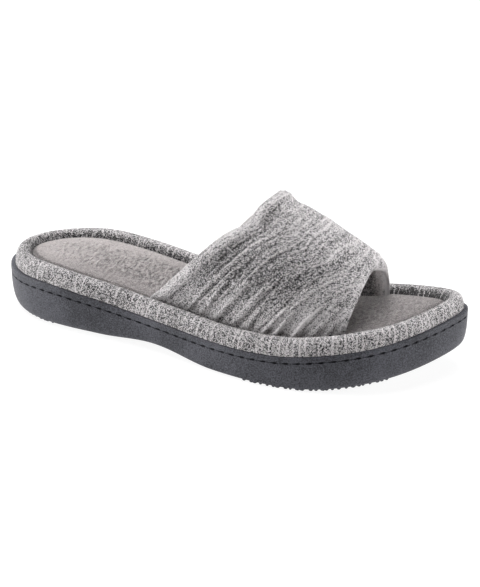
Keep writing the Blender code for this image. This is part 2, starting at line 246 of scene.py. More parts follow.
# Stage: soft boxes with sizes in metres and powers in watts, aimed at the slipper, and the floor's half side
# and glow
SoftBox = namedtuple("SoftBox", "name place size power")
SOFT_BOXES = (
    SoftBox(name="overhead", place=(-0.25, 0.2, 1.2), size=1.2, power=20.5),
    SoftBox(name="toe_side", place=(1.12, 0.34, 0.25), size=0.6, power=12.0),
    SoftBox(name="heel_side", place=(-1.1, -0.4, 0.14), size=0.5, power=16.5),
    SoftBox(name="back", place=(-0.46, 0.8, 0.77), size=0.6, power=3.6),
)
FLOOR_REACH = 3.0
FLOOR_GLOW = 0.9
WHITE = (1, 1, 1, 1)


class OutsoleSettings(bpy.types.PropertyGroup):
    """Sizes and colour of the moulded outsole."""

    groove_width: FloatProperty(
        name="Groove width", description="Width of the moulded groove", default=0.0013, unit="LENGTH"
    )
    groove_depth: FloatProperty(
        name="Groove depth", description="Depth of the moulded groove", default=0.0011, unit="LENGTH"
    )
    stitch_pitch: FloatProperty(
        name="Stitch pitch", description="Length from one mock stitch to the next",
        default=0.0062, unit="LENGTH",
    )
    stitch_share: FloatProperty(
        name="Stitch share", description="Share of the pitch where the groove is wide and deep", default=0.55
    )
    lug_height: FloatProperty(
        name="Lug height", description="How far the lugs stand out of the tread",
        default=0.0012, unit="LENGTH",
    )
    rungs: IntProperty(name="Rungs", description="Rows of the mesh from heel to toe", default=1000)
    rubber: FloatVectorProperty(
        name="Rubber", description="Colour of the rubber", default=(0.070, 0.0708, 0.082), subtype="COLOR"
    )


class RimSettings(bpy.types.PropertyGroup):
    """Sizes of the padded rim."""

    inner_edge: FloatProperty(
        name="Inner edge", description="How far the roll's inner edge lies inside the outsole's edge",
        default=0.0118, unit="LENGTH",
    )
    height: FloatProperty(name="Height", description="Height of the roll", default=0.0084, unit="LENGTH")
    squareness: FloatProperty(
        name="Squareness", description="2 is an ellipse and more is squarer", default=2.1
    )
    rungs: IntProperty(name="Rungs", description="Rows of the mesh from heel to toe", default=1000)
    steps: IntProperty(name="Steps", description="Steps of the mesh round the roll", default=40)


class FootbedSettings(bpy.types.PropertyGroup):
    """Sizes and colour of the plush footbed."""

    edge: FloatProperty(
        name="Edge", description="Height of the pad at its edge", default=0.0058, unit="LENGTH"
    )
    crown: FloatProperty(
        name="Crown", description="How much higher the pad's middle is", default=0.0012, unit="LENGTH"
    )
    round_edge: FloatProperty(
        name="Round edge", description="Radius of the pad's top edge", default=0.0026, unit="LENGTH"
    )
    swell: FloatProperty(
        name="Swell", description="Height of the soft swells in the pad", default=0.0005, unit="LENGTH"
    )
    rungs: IntProperty(name="Rungs", description="Rows of the mesh from heel to toe", default=400)
    cells: IntProperty(name="Cells", description="Cells of the mesh from side to side", default=110)
    pile: FloatVectorProperty(
        name="Pile", description="Colour of the pile", default=(0.362, 0.330, 0.327), subtype="COLOR"
    )


class UpperSettings(bpy.types.PropertyGroup):
    """Sizes and colours of the knit upper and its lining."""

    wall: FloatProperty(name="Wall", description="Thickness of the padded wall", default=0.004, unit="LENGTH")
    knit: FloatProperty(
        name="Knit", description="Depth of the knit layer away from its hems", default=0.0022, unit="LENGTH"
    )
    flare: FloatProperty(
        name="Flare", description="How much the wall thins on its inside towards the front hem",
        default=0.0016, unit="LENGTH",
    )
    lip: FloatProperty(
        name="Lip", description="How much thicker the wall is at the crown of the front hem",
        default=0.0056, unit="LENGTH",
    )
    hem: FloatProperty(
        name="Hem", description="Length of the knit that is turned inside", default=0.0005, unit="LENGTH"
    )
    fullness: FloatProperty(
        name="Fullness", description="2 gives an elliptic arch and more a squarer one", default=2.08
    )
    rear_outer: FloatProperty(
        name="Rear outer", description="Rear edge at the outer foot", default=0.095, unit="LENGTH"
    )
    rear_crown: FloatProperty(
        name="Rear crown", description="Rear edge at the crown", default=0.1635, unit="LENGTH"
    )
    rear_inner: FloatProperty(
        name="Rear inner", description="Rear edge at the inner foot", default=0.099, unit="LENGTH"
    )
    front_outer: FloatProperty(
        name="Front outer", description="Front edge at the outer foot", default=0.2135, unit="LENGTH"
    )
    front_crown: FloatProperty(
        name="Front crown", description="Front edge at the crown", default=0.216, unit="LENGTH"
    )
    front_inner: FloatProperty(
        name="Front inner", description="Front edge at the inner foot", default=0.214, unit="LENGTH"
    )
    crown_shift: FloatProperty(
        name="Crown shift", description="How far the crown lies to the inner side",
        default=0.003, unit="LENGTH",
    )
    rear_dip: FloatProperty(
        name="Rear dip", description="How far the outer rear edge draws in beside the crown",
        default=0.0026, unit="LENGTH",
    )
    front_bow: FloatProperty(
        name="Front bow", description="How far the outer front edge bows out under the crown",
        default=0.0024, unit="LENGTH",
    )
    lean_power: FloatProperty(
        name="Lean power", description="Below 1, the rear edge bows back on its way up", default=0.85
    )
    length_steps: IntProperty(name="Length steps", description="Mesh steps from rear to front", default=180)
    arch_steps: IntProperty(name="Arch steps", description="Mesh steps over the arch", default=224)
    yarn_dark: FloatVectorProperty(
        name="Dark yarn", description="Colour of the dark yarn",
        default=(0.030, 0.029, 0.030), subtype="COLOR",
    )
    yarn_light: FloatVectorProperty(
        name="Light yarn", description="Colour of the light yarn",
        default=(0.68, 0.652, 0.658), subtype="COLOR",
    )
    lining: FloatVectorProperty(
        name="Lining", description="Colour of the lining", default=(0.52, 0.49, 0.49), subtype="COLOR"
    )


class StageSettings(bpy.types.PropertyGroup):
    """Camera and floor."""

    azimuth: FloatProperty(
        name="Azimuth", description="Camera's turn about the slipper",
        default=math.radians(26.1), subtype="ANGLE",
    )
    elevation: FloatProperty(
        name="Elevation", description="Camera's angle over the floor",
        default=math.radians(23.65), subtype="ANGLE",
    )
    distance: FloatProperty(
        name="Distance", description="Camera's distance from its target", default=1.098, unit="LENGTH"
    )
    target: FloatVectorProperty(
        name="Target", description="Where the camera looks, from the heel",
        default=(0.1406, 0.0, 0.0247), subtype="TRANSLATION",
    )
    lens: FloatProperty(name="Lens", description="Focal length in millimetres", default=124.9)
    floor: FloatVectorProperty(
        name="Floor", description="Colour of the floor", default=(0.2, 0.2, 0.2), subtype="COLOR"
    )


def column(table, name):
    """One named column of a table in millimetres, as metres."""
    return np.array([getattr(row, name) for row in table], float) * MM


def smooth_table(along, table, name):
    """A table's column at the places along: a cubic through the rows, with slopes between neighbours."""
    x, y = column(table, "along"), column(table, name)
    slope = np.gradient(y, x)
    at = np.clip(along, x[0], x[-1])
    k = np.clip(np.searchsorted(x, at, side="right") - 1, 0, len(x) - 2)
    step = x[k + 1] - x[k]
    t = (at - x[k]) / step
    start = (1 + 2 * t) * (1 - t) ** 2 * y[k] + t * (1 - t) ** 2 * step * slope[k]
    end = t * t * (3 - 2 * t) * y[k + 1] + t * t * (t - 1) * step * slope[k + 1]
    return start + end


def smooth_step(value):
    """0 below 0, 1 above 1, and a smooth ramp between."""
    t = np.clip(value, 0, 1)
    return t * t * (3 - 2 * t)


def ramp(value, start, run):
    """0 at the start and 1 a run after it, or a run before it where the run is negative, smooth between."""
    return smooth_step((value - start) / run)


def bell(value, middle, width):
    """A soft bell: 1 in the middle, falling off over the width to both sides."""
    return np.exp(-(((value - middle) / width) ** 2))


def soft_noise(x, y, seed, period=None):
    """Value noise from 0 to 1: random heights on whole numbers, blended smoothly.

    It repeats after the period in x, where one is given.
    """
    column_at, row_at = np.floor(x).astype(np.int64), np.floor(y).astype(np.int64)

    def height(c, r):
        """The random height at a whole number, mixed from it and the seed by large odd factors."""
        c = c % period if period else c
        mixed = (c * 374761393 + r * 668265263 + seed * 974634777) & 0xFFFFFFFF
        mixed = ((mixed ^ (mixed >> 13)) * 1274126177) & 0xFFFFFFFF
        return ((mixed ^ (mixed >> 16)) & 0xFFFF) / 65535.0

    blend_x, blend_y = smooth_step(x - column_at), smooth_step(y - row_at)
    low = height(column_at, row_at) * (1 - blend_x) + height(column_at + 1, row_at) * blend_x
    high = height(column_at, row_at + 1) * (1 - blend_x) + height(column_at + 1, row_at + 1) * blend_x
    return low * (1 - blend_y) + high * blend_y


def unit(vectors):
    """Vectors scaled to length 1."""
    return vectors / np.linalg.norm(vectors, axis=-1, keepdims=True)


def closed_spline(points, count):
    """A smooth closed curve through the points: the periodic cubic spline over their chord lengths."""
    n = len(points)
    after = np.roll(points, -1, axis=0)
    chord = np.linalg.norm(after - points, axis=1)
    before_chord = np.roll(chord, 1)
    slope = (after - points) / chord[:, None]
    system = np.zeros((n, n))
    here = np.arange(n)
    system[here, here] = 2 * (before_chord + chord)
    system[here, here - 1] += before_chord
    system[here, (here + 1) % n] += chord
    bend = np.linalg.solve(system, 6 * (slope - np.roll(slope, 1, axis=0)))
    knots = np.concatenate([[0], np.cumsum(chord)])
    at = np.linspace(0, knots[-1], count, endpoint=False)
    k = np.searchsorted(knots, at, side="right") - 1
    right = ((at - knots[k]) / chord[k])[:, None]
    left = 1 - right
    curve = left * points[k] + right * after[k]
    sag = (left**3 - left) * bend[k] + (right**3 - right) * bend[(k + 1) % n]
    return curve + sag * chord[k][:, None] ** 2 / 6


class SoleEdge:
    """The outsole's edge as one loop of columns: heel, outer side, toe and back along the inner side.

    The loop is the spline through the outline's points, cut into rungs that crowd towards both ends as
    the cosine does. Each column has its outward direction and its run, the length along the edge.
    """

    def __init__(self, rungs):
        points = np.column_stack([column(OUTLINE, "along"), column(OUTLINE, "across")])
        loop = closed_spline(points, OUTLINE_SAMPLES)
        loop = np.roll(loop, -loop[:, 0].argmin(), axis=0)
        toe = loop[:, 0].argmax()
        outer, inner = loop[: toe + 1], np.vstack([loop[:1], loop[: toe - 1 : -1]])
        share = (1 - np.cos(np.linspace(0, np.pi, rungs + 1))) / 2
        rows = loop[0, 0] + share * (loop[toe, 0] - loop[0, 0])
        outer_side = np.interp(rows, outer[:, 0], outer[:, 1])
        inner_side = np.interp(rows, inner[:, 0], inner[:, 1])
        self.rungs = rungs
        self.along = np.concatenate([rows, rows[-2:0:-1]])
        self.edge = np.column_stack([self.along, np.concatenate([outer_side, inner_side[-2:0:-1]])])
        tangent = unit(np.roll(self.edge, -1, axis=0) - np.roll(self.edge, 1, axis=0))
        self.outward = np.column_stack([tangent[:, 1], -tangent[:, 0]])
        self.top = smooth_table(self.along, SOLE_STATIONS, "top_edge")
        closed = np.vstack([self.edge, self.edge[:1]])
        self.run = np.concatenate([[0], np.cumsum(np.linalg.norm(np.diff(closed, axis=0), axis=1))])
        self.middle = np.append((loop.min(axis=0) + loop.max(axis=0)) / 2, 0)

    def ring(self, inset, height):
        """The loop drawn in by inset, at a height; either may change from column to column."""
        inset = np.broadcast_to(inset, self.along.shape)
        flat = self.edge - self.outward * inset[:, None]
        return np.column_stack([flat, np.broadcast_to(height, self.along.shape)])

    def over_deck(self, inset, rise):
        """The loop drawn in by inset, at a rise over the outsole's deck."""
        ring = self.ring(inset, rise)
        ring[:, 2] += smooth_table(ring[:, 0], SOLE_STATIONS, "top_edge")
        return ring

    def side_line(self, inset, inner_side):
        """One side of the loop drawn in by inset, from heel to toe."""
        return sides(self.ring(inset, 0.0)[:, :2], self.rungs)[int(inner_side)]


def sides(ring, rungs):
    """The outer and the inner half of a ring, both from heel to toe."""
    return ring[: rungs + 1], np.vstack([ring[:1], ring[: rungs - 1 : -1]])


def rungs_across(ring, rungs, cells):
    """Rows of points from a ring's outer side straight over to its inner side, rung by rung."""
    outer, inner = sides(ring, rungs)
    share = np.linspace(0, 1, cells + 1)[None, :, None]
    return outer[:, None, :] * (1 - share) + inner[:, None, :] * share


def floor_clearance(along, across):
    """How high the tread's lowest points stand over the floor: heel's lift, arch and toe spring, summed."""
    heel = HEEL_LIFT * np.clip(1 - along / HEEL_FLAT_START, 0, 1) ** 2
    arch_share = np.clip((along - HEEL_FLAT_END) / (BALL_FLAT_START - HEEL_FLAT_END), 0, 1)
    inner_share = np.clip((across + ARCH_HALF_WIDTH) / (2 * ARCH_HALF_WIDTH), 0, 1)
    arch = ARCH_RISE_OUTER + (ARCH_RISE_INNER - ARCH_RISE_OUTER) * inner_share
    toe_share = np.clip((along - BALL_FLAT_END) / TOE_SPRING_RUN, 0, None)
    return heel + arch * np.sin(np.pi * arch_share) ** 2 + TOE_SPRING * toe_share**TOE_SPRING_POWER


# A sheet is a grid of points with its flat coordinates, its named values and how it closes on itself
Sheet = namedtuple("Sheet", "points flat values wrap_rows wrap_columns", defaults=({}, False, False))


def flat_lengths(points):
    """Flat coordinates of a grid: lengths along its columns and along its rows, in metres."""
    down = np.linalg.norm(np.diff(points, axis=0), axis=-1)
    over = np.linalg.norm(np.diff(points, axis=1), axis=-1)
    down = np.concatenate([np.zeros((1, points.shape[1])), np.cumsum(down, axis=0)])
    over = np.concatenate([np.zeros((points.shape[0], 1)), np.cumsum(over, axis=1)], axis=1)
    return np.stack([down, over], axis=-1)


def plain_sheet(points):
    """A sheet that has no values and closes nowhere."""
    return Sheet(points, flat_lengths(points))


def ring_sheet(rings, **values):
    """A sheet of rings: each row closes on itself, and its flat coordinates go all the way round."""
    around = np.concatenate([rings, rings[:, :1]], axis=1)
    return Sheet(rings, flat_lengths(around), values, wrap_columns=True)


def mesh_from_sheets(name, sheets, origin):
    """One closed mesh from grids that share their edges, with flat coordinates as its UV map."""
    points, quads, corners = [], [], []
    start = 0
    for sheet in sheets:
        rows, columns = sheet.points.shape[:2]
        r = np.arange(rows if sheet.wrap_rows else rows - 1)[:, None]
        c = np.arange(columns if sheet.wrap_columns else columns - 1)[None, :]
        below, beside = (r + 1) % rows, (c + 1) % columns
        quad = (r * columns + c, below * columns + c, below * columns + beside, r * columns + beside)
        quads.append(start + np.stack(quad, axis=-1).reshape(-1, 4))
        flat = sheet.flat
        corner = (flat[r, c], flat[r + 1, c], flat[r + 1, c + 1], flat[r, c + 1])
        corners.append(np.stack(corner, axis=2).reshape(-1, 2))
        points.append(sheet.points.reshape(-1, 3))
        start += rows * columns
    mesh = bpy.data.meshes.new(name)
    mesh.from_pydata((np.vstack(points) - origin).tolist(), [], np.vstack(quads).tolist())
    mesh.uv_layers.new(name="flat").data.foreach_set("uv", np.vstack(corners).ravel())
    for key in sheets[0].values:
        grids = [sheet.values.get(key, np.zeros(sheet.points.shape[:2])) for sheet in sheets]
        values = np.concatenate([grid.ravel() for grid in grids])
        mesh.attributes.new(key, "FLOAT", "POINT").data.foreach_set("value", values)
    bm = bmesh.new()
    bm.from_mesh(mesh)
    bmesh.ops.remove_doubles(bm, verts=bm.verts, dist=WELD)
    bmesh.ops.dissolve_degenerate(bm, edges=bm.edges, dist=WELD)
    bmesh.ops.recalc_face_normals(bm, faces=bm.faces)
    bm.to_mesh(mesh)
    bm.free()
    return mesh


def add_piece(name, sheets, origin, material, sharp_angle=40.0):
    """Links a piece made of sheets, with its finish, riding on the slipper's one body."""
    mesh = mesh_from_sheets(name, sheets, origin)
    mesh.shade_smooth()
    mesh.set_sharp_from_angle(angle=math.radians(sharp_angle))
    mesh.materials.append(material)
    piece = bpy.data.objects.new(name, mesh)
    bpy.context.scene.collection.objects.link(piece)
    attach(piece, "root")
    return piece


def set_inputs(node, **values):
    """Sets plain values on a node's sockets, which are named with underscores for spaces."""
    for name, value in values.items():
        node.inputs[name.replace("_", " ")].default_value = value


class NodeWriter:
    """Short ways to add and join nodes in one tree."""

    def __init__(self, tree):
        self.tree = tree

    def add(self, kind, **settings):
        """A new node with its settings."""
        node = self.tree.nodes.new(kind)
        for key, value in settings.items():
            setattr(node, key, value)
        return node

    def feed(self, socket, value):
        """Joins a socket to an output, or sets it to a plain value."""
        if isinstance(value, bpy.types.NodeSocket):
            self.tree.links.new(value, socket)
        else:
            socket.default_value = value

    def math(self, operation, *values, clamp=False):
        """The result of one sum on sockets or plain values."""
        node = self.add("ShaderNodeMath", operation=operation, use_clamp=clamp)
        for socket, value in zip(node.inputs, values):
            self.feed(socket, value)
        return node.outputs[0]

    def noise(self, vector, scale, detail=2.0, roughness=0.5):
        """Noise from 0 to 1 at a vector."""
        node = self.add("ShaderNodeTexNoise")
        self.feed(node.inputs["Vector"], vector)
        self.feed(node.inputs["Scale"], scale)
        set_inputs(node, Detail=detail, Roughness=roughness)
        return node.outputs["Fac"]

    def smooth_range(self, value, **limits):
        """A smooth ramp of a value; the limits are named as the node's sockets are."""
        node = self.add("ShaderNodeMapRange", interpolation_type="SMOOTHSTEP")
        self.feed(node.inputs["Value"], value)
        set_inputs(node, **limits)
        return node.outputs[0]

    def mix(self, factor, first, second):
        """A colour between two, by the factor."""
        node = self.add("ShaderNodeMix", data_type="RGBA")
        self.feed(node.inputs[0], factor)
        self.feed(node.inputs[6], first)
        self.feed(node.inputs[7], second)
        return node.outputs[2]

    def bump(self, height, strength, distance):
        """The normal of a bumpy surface."""
        node = self.add("ShaderNodeBump")
        set_inputs(node, Strength=strength, Distance=distance)
        self.feed(node.inputs["Height"], height)
        return node.outputs["Normal"]

    def weighted(self, start, *terms):
        """start plus the sum of weight times (value minus one half)."""
        total = start
        for value, weight in terms:
            centred = self.math("SUBTRACT", value, 0.5)
            total = self.math("MULTIPLY_ADD", centred, weight, total)
        return total


def new_group(name, inputs, outputs):
    """A shader node group with its sockets: a writer for its tree, and what it is given and gives."""
    tree = bpy.data.node_groups.new(name, "ShaderNodeTree")
    for socket, kind in inputs:
        tree.interface.new_socket(socket, in_out="INPUT", socket_type=kind)
    for socket, kind in outputs:
        tree.interface.new_socket(socket, in_out="OUTPUT", socket_type=kind)
    writer = NodeWriter(tree)
    return writer, writer.add("NodeGroupInput").outputs, writer.add("NodeGroupOutput").inputs


def new_material(name):
    """A material with its shader and a writer for its tree."""
    material = bpy.data.materials.new(name)
    material.use_nodes = True
    return material, material.node_tree.nodes["Principled BSDF"], NodeWriter(material.node_tree)


def rgba(colour):
    """A colour with full opacity."""
    return (*colour, 1.0)


def shades(colour, *shares):
    """A colour made darker or lighter by each share."""
    return [rgba([channel * share for channel in colour]) for share in shares]


def knit_group():
    """Heathered knit: V-shaped stitches and flecks with their own shades, over streaks and painted light and
    shade.
    """
    vectors, floats = ("Flat", "Place"), ("Streak", "Stitch Width", "Stitch Height")
    inputs = [(name, "NodeSocketVector") for name in vectors] + [(name, "NodeSocketFloat") for name in floats]
    make, given, result = new_group(
        "heathered_knit", inputs, [("Shade", "NodeSocketFloat"), ("Height", "NodeSocketFloat")]
    )
    split = make.add("ShaderNodeSeparateXYZ")
    make.feed(split.inputs[0], given["Flat"])
    wale = make.math("DIVIDE", split.outputs[0], given["Stitch Width"])
    wale_share = make.math("FRACT", wale)
    vee = make.math("ABSOLUTE", make.math("SUBTRACT", wale_share, 0.5))
    course = make.math("ADD", make.math("DIVIDE", split.outputs[1], given["Stitch Height"]), vee)
    cell = make.add("ShaderNodeCombineXYZ")
    make.feed(cell.inputs[0], make.math("FLOOR", make.math("MULTIPLY", wale, 2.0)))
    make.feed(cell.inputs[1], make.math("FLOOR", course))
    stitch = make.add("ShaderNodeTexWhiteNoise", noise_dimensions="2D")
    make.feed(stitch.inputs["Vector"], cell.outputs[0])
    fleck = make.add("ShaderNodeTexVoronoi")
    make.feed(fleck.inputs["Vector"], given["Place"])
    set_inputs(fleck, Scale=2700.0)
    fleck_shade = make.add("ShaderNodeSeparateColor")
    make.feed(fleck_shade.inputs[0], fleck.outputs["Color"])
    fibre = make.noise(given["Place"], scale=2600.0, roughness=0.6)
    patch = make.noise(given["Place"], scale=420.0)
    leg = make.math("ABSOLUTE", make.math("SINE", make.math("MULTIPLY", wale_share, 2 * math.pi)))
    loop = make.math("SINE", make.math("MULTIPLY", make.math("FRACT", course), math.pi))
    shade = make.weighted(
        0.5,
        (stitch.outputs["Value"], 0.7),
        (fleck_shade.outputs[0], 2.8),
        (fibre, 0.3),
        (patch, 0.1),
        (given["Streak"], 2.8),
    )
    # Painted light and shade of the stitches: lighter where their relief stands high, darker in its hollows
    relief = make.math("MULTIPLY", leg, loop)
    shade = make.math("MULTIPLY_ADD", make.math("SUBTRACT", relief, 0.4), 0.28, shade)
    make.feed(result["Shade"], make.math("ADD", shade, 0.0, clamp=True))
    make.feed(result["Height"], make.math("MULTIPLY_ADD", fibre, 0.35, relief))


def pile_group():
    """Short pile: a fine grain over soft tufts, parted by thin creases.

    The creases are the lines where a noise, long across the foot and short along it, passes its middle.
    A broad noise opens them in some places and closes them in others. Creases and ripple troughs get painted
    shade.
    """
    make, given, result = new_group(
        "short_pile",
        [("Place", "NodeSocketVector"), ("Grain", "NodeSocketFloat"), ("Crease", "NodeSocketFloat")],
        [("Shade", "NodeSocketFloat"), ("Height", "NodeSocketFloat")],
    )
    fine = make.noise(given["Place"], given["Grain"], detail=3.0, roughness=0.7)
    tufts = make.noise(given["Place"], make.math("MULTIPLY", given["Grain"], 0.4))
    nap = make.add("ShaderNodeCombineXYZ")
    for socket, direction in zip(nap.inputs, NAP_DIRECTIONS):
        dot = make.add("ShaderNodeVectorMath", operation="DOT_PRODUCT")
        make.feed(dot.inputs[0], given["Place"])
        make.feed(dot.inputs[1], direction)
        make.feed(socket, dot.outputs["Value"])
    swell = make.noise(nap.outputs[0], scale=1.0, roughness=0.6)
    ripple = make.noise(nap.outputs[0], scale=1.15, detail=1.0)
    ripple = make.math("MULTIPLY", make.math("SUBTRACT", ripple, 0.5), given["Crease"])
    middle = make.math("ABSOLUTE", make.math("SUBTRACT", swell, 0.5))
    line = make.smooth_range(middle, From_Max=0.07, To_Min=1.0, To_Max=0.0)
    patches = make.noise(given["Place"], scale=75.0, detail=1.0)
    parted = make.smooth_range(patches, From_Min=0.38, From_Max=0.62)
    crease = make.math("MULTIPLY", line, parted)
    crease = make.math("MULTIPLY", crease, given["Crease"])
    shade = make.weighted(0.5, (fine, 3.2), (tufts, 1.0), (swell, 0.5))
    # Painted shade in the ripples' troughs, which also shape the bump
    shade = make.math("MULTIPLY_ADD", ripple, 2.4, shade)
    # Painted shade in the creases
    make.feed(result["Shade"], make.math("MULTIPLY_ADD", crease, -0.25, shade))
    height = make.weighted(0.5, (fine, 0.6), (tufts, 0.5), (swell, 0.5))
    height = make.math("MULTIPLY_ADD", ripple, 4.0, height)
    make.feed(result["Height"], make.math("MULTIPLY_ADD", crease, -0.5, height))


def use_group(make, tree, **values):
    """Places a group in a material and gives its inputs, named with underscores for spaces."""
    node = make.add("ShaderNodeGroup", node_tree=tree)
    for name, value in values.items():
        make.feed(node.inputs[name.replace("_", " ")], value)
    return node.outputs


def attribute(make, name):
    """A named value of the mesh."""
    return make.add("ShaderNodeAttribute", attribute_name=name).outputs["Fac"]


def flat_map(make):
    """The flat coordinates of the mesh."""
    return make.add("ShaderNodeUVMap", uv_map="flat").outputs["UV"]


def object_place(make):
    """The place on the piece, in metres."""
    return make.add("ShaderNodeTexCoord").outputs["Object"]


def knit_material(name, settings, stitch_width, stitch_height):
    """Padded knit of dark and light yarn: matt, with a little sheen from its loose fibres."""
    _, shader, make = new_material(name)
    knit = use_group(
        make,
        bpy.data.node_groups["heathered_knit"],
        Flat=flat_map(make),
        Place=object_place(make),
        # The knit's tone: the yarn's streaks, with painted light and shade added on the rim and the upper
        Streak=attribute(make, "streak"),
        Stitch_Width=stitch_width,
        Stitch_Height=stitch_height,
    )
    colour = make.mix(knit["Shade"], rgba(settings.yarn_dark), rgba(settings.yarn_light))
    make.feed(shader.inputs["Base Color"], colour)
    make.feed(shader.inputs["Normal"], make.bump(knit["Height"], strength=0.6, distance=0.0004))
    set_inputs(shader, Roughness=0.95, Sheen_Weight=0.25, Sheen_Roughness=0.5, Specular_IOR_Level=0.2)


def plush_material(name, colour, grain, creased, lightness_weight, shade_range):
    """Brushed plush: a grainy pile with painted shade in its creases, and painted light and shade from the
    mesh.
    """
    _, shader, make = new_material(name)
    group = bpy.data.node_groups["short_pile"]
    crease = attribute(make, "creased") if creased else 0.0
    pile = use_group(make, group, Place=object_place(make), Grain=grain, Crease=crease)
    # Painted light and shade from the mesh's value, by its weight
    shade = make.weighted(pile["Shade"], (attribute(make, "brushed"), lightness_weight))
    low, high = shades(colour, *shade_range)
    make.feed(shader.inputs["Base Color"], make.mix(make.math("ADD", shade, 0.0, clamp=True), low, high))
    make.feed(shader.inputs["Normal"], make.bump(pile["Height"], strength=1.0, distance=0.0014))
    set_inputs(shader, Roughness=1.0, Sheen_Weight=0.4, Sheen_Roughness=0.45, Specular_IOR_Level=0.1)


def rubber_material(settings):
    """Moulded rubber: satin, with a fine mould grain and faint cloudiness, and painted shade in the groove.
    """
    _, shader, make = new_material("moulded_rubber")
    place = object_place(make)
    clouds = make.noise(place, scale=45.0, detail=3.0)
    grain = make.noise(place, scale=1500.0, roughness=0.6)
    shade = make.weighted(0.5, (clouds, 1.2), (grain, 3.2))
    # Painted shade in the groove
    shade = make.math("MULTIPLY_ADD", attribute(make, "groove"), -0.9, shade, clamp=True)
    low, high = shades(settings.rubber, 0.45, 1.55)
    make.feed(shader.inputs["Base Color"], make.mix(shade, low, high))
    make.feed(shader.inputs["Roughness"], make.weighted(0.45, (clouds, 0.12), (grain, 0.1)))
    make.feed(shader.inputs["Normal"], make.bump(grain, strength=0.7, distance=0.0004))
    set_inputs(shader, Specular_IOR_Level=0.14)


class SLIPPER_OT_finishes(bpy.types.Operator):
    """Make the node groups and materials that the pieces share"""

    bl_idname = "slipper.finishes"
    bl_label = "Make finishes"

    def execute(self, context):
        scene = context.scene
        knit_group()
        pile_group()
        knit_material("heathered_upper", scene.slipper_upper, stitch_width=0.0010, stitch_height=0.0007)
        knit_material("heathered_rim", scene.slipper_upper, stitch_width=0.0009, stitch_height=0.0008)
        plush_material(
            "brushed_footbed", scene.slipper_footbed.pile, grain=1750.0, creased=True, lightness_weight=0.6,
            shade_range=(0.35, 1.45),
        )
        plush_material(
            "brushed_lining", scene.slipper_upper.lining, grain=2000.0, creased=False, lightness_weight=0.9,
            shade_range=(0.06, 1.6),
        )
        rubber_material(scene.slipper_outsole)
        return {"FINISHED"}


def opened(closed, stitch):
    """A share that is closed between the stitches and 1 where a stitch is open."""
    return closed + (1 - closed) * stitch


def outsole_rings(edge, settings):
    """Rings of the outsole's side from the top down, and the painted shade of the groove at each point, 0 to
    1.

    They make the round top edge, the band, the groove with its mock stitches, and the wall. The groove is
    half an ellipse across. Once in each pitch it widens and deepens slowly and closes in again fast, like a
    stitch pulled towards the toe. The wall is a quarter of a superellipse from the groove in to the foot.
    """
    rings = []
    for turn in np.linspace(np.pi / 2, 0, 5):
        inset = ROUND_TOP * (1 - np.cos(turn))
        drop = ROUND_TOP * (1 - np.sin(turn))
        rings.append(edge.ring(inset, edge.top - drop))
    band = smooth_table(edge.along, SOLE_STATIONS, "band")
    for share in np.linspace(0, 1, 5)[1:-1]:
        swell = BAND_SWELL * np.sin(np.pi * share)
        rings.append(edge.ring(-swell, edge.top - ROUND_TOP - share * (band - ROUND_TOP)))
    groove_start = len(rings)
    stitch = groove_stitches(edge, settings)
    depth = settings.groove_depth * opened(CLOSED_DEPTH, stitch)
    half_width = settings.groove_width / 2 * opened(CLOSED_WIDTH, stitch)
    across = np.linspace(-1, 1, 9)
    bow = np.sqrt(1 - across**2)
    for share, deep in zip(across, bow):
        drop = band + settings.groove_width / 2 + half_width * share
        rings.append(edge.ring(depth * deep, edge.top - drop))
    groove_end = len(rings)
    foot_inset = smooth_table(edge.along, SOLE_STATIONS, "foot_inset")
    foot = edge.ring(foot_inset, 0)
    foot_height = floor_clearance(foot[:, 0], foot[:, 1]) + settings.lug_height
    wall_top = edge.top - band - settings.groove_width
    power = 2 / WALL_SQUARENESS
    for turn in np.linspace(0, np.pi / 2, 17)[1:]:
        inward = 1 - np.cos(turn) ** power
        down = np.sin(turn) ** power
        rings.append(edge.ring(foot_inset * inward, wall_top + (foot_height - wall_top) * down))
    # Painted shade in the groove, deepest across its middle and where a stitch opens it
    groove = np.zeros((len(rings), len(edge.along)))
    groove[groove_start:groove_end] = bow[:, None] * opened(CLOSED_PAINTED_SHADE, stitch)
    return np.array(rings), groove


def groove_stitches(edge, settings):
    """How far a mock stitch opens the groove at each column, 0 to 1: a slow rise and a fast fall a pitch."""
    total = edge.run[-1]
    stitches = round(total / settings.stitch_pitch)
    phase = (edge.run[:-1] / total * stitches) % 1.0
    rise = ramp(phase, start=1 - settings.stitch_share - STITCH_LEAD, run=settings.stitch_share)
    return rise * ramp(phase, start=1, run=-STITCH_FALL)


def in_fields(along, fields):
    """Whether a place along the foot lies in one of the fields."""
    return np.any([(along >= field.start * MM) & (along <= field.end * MM) for field in fields], axis=0)


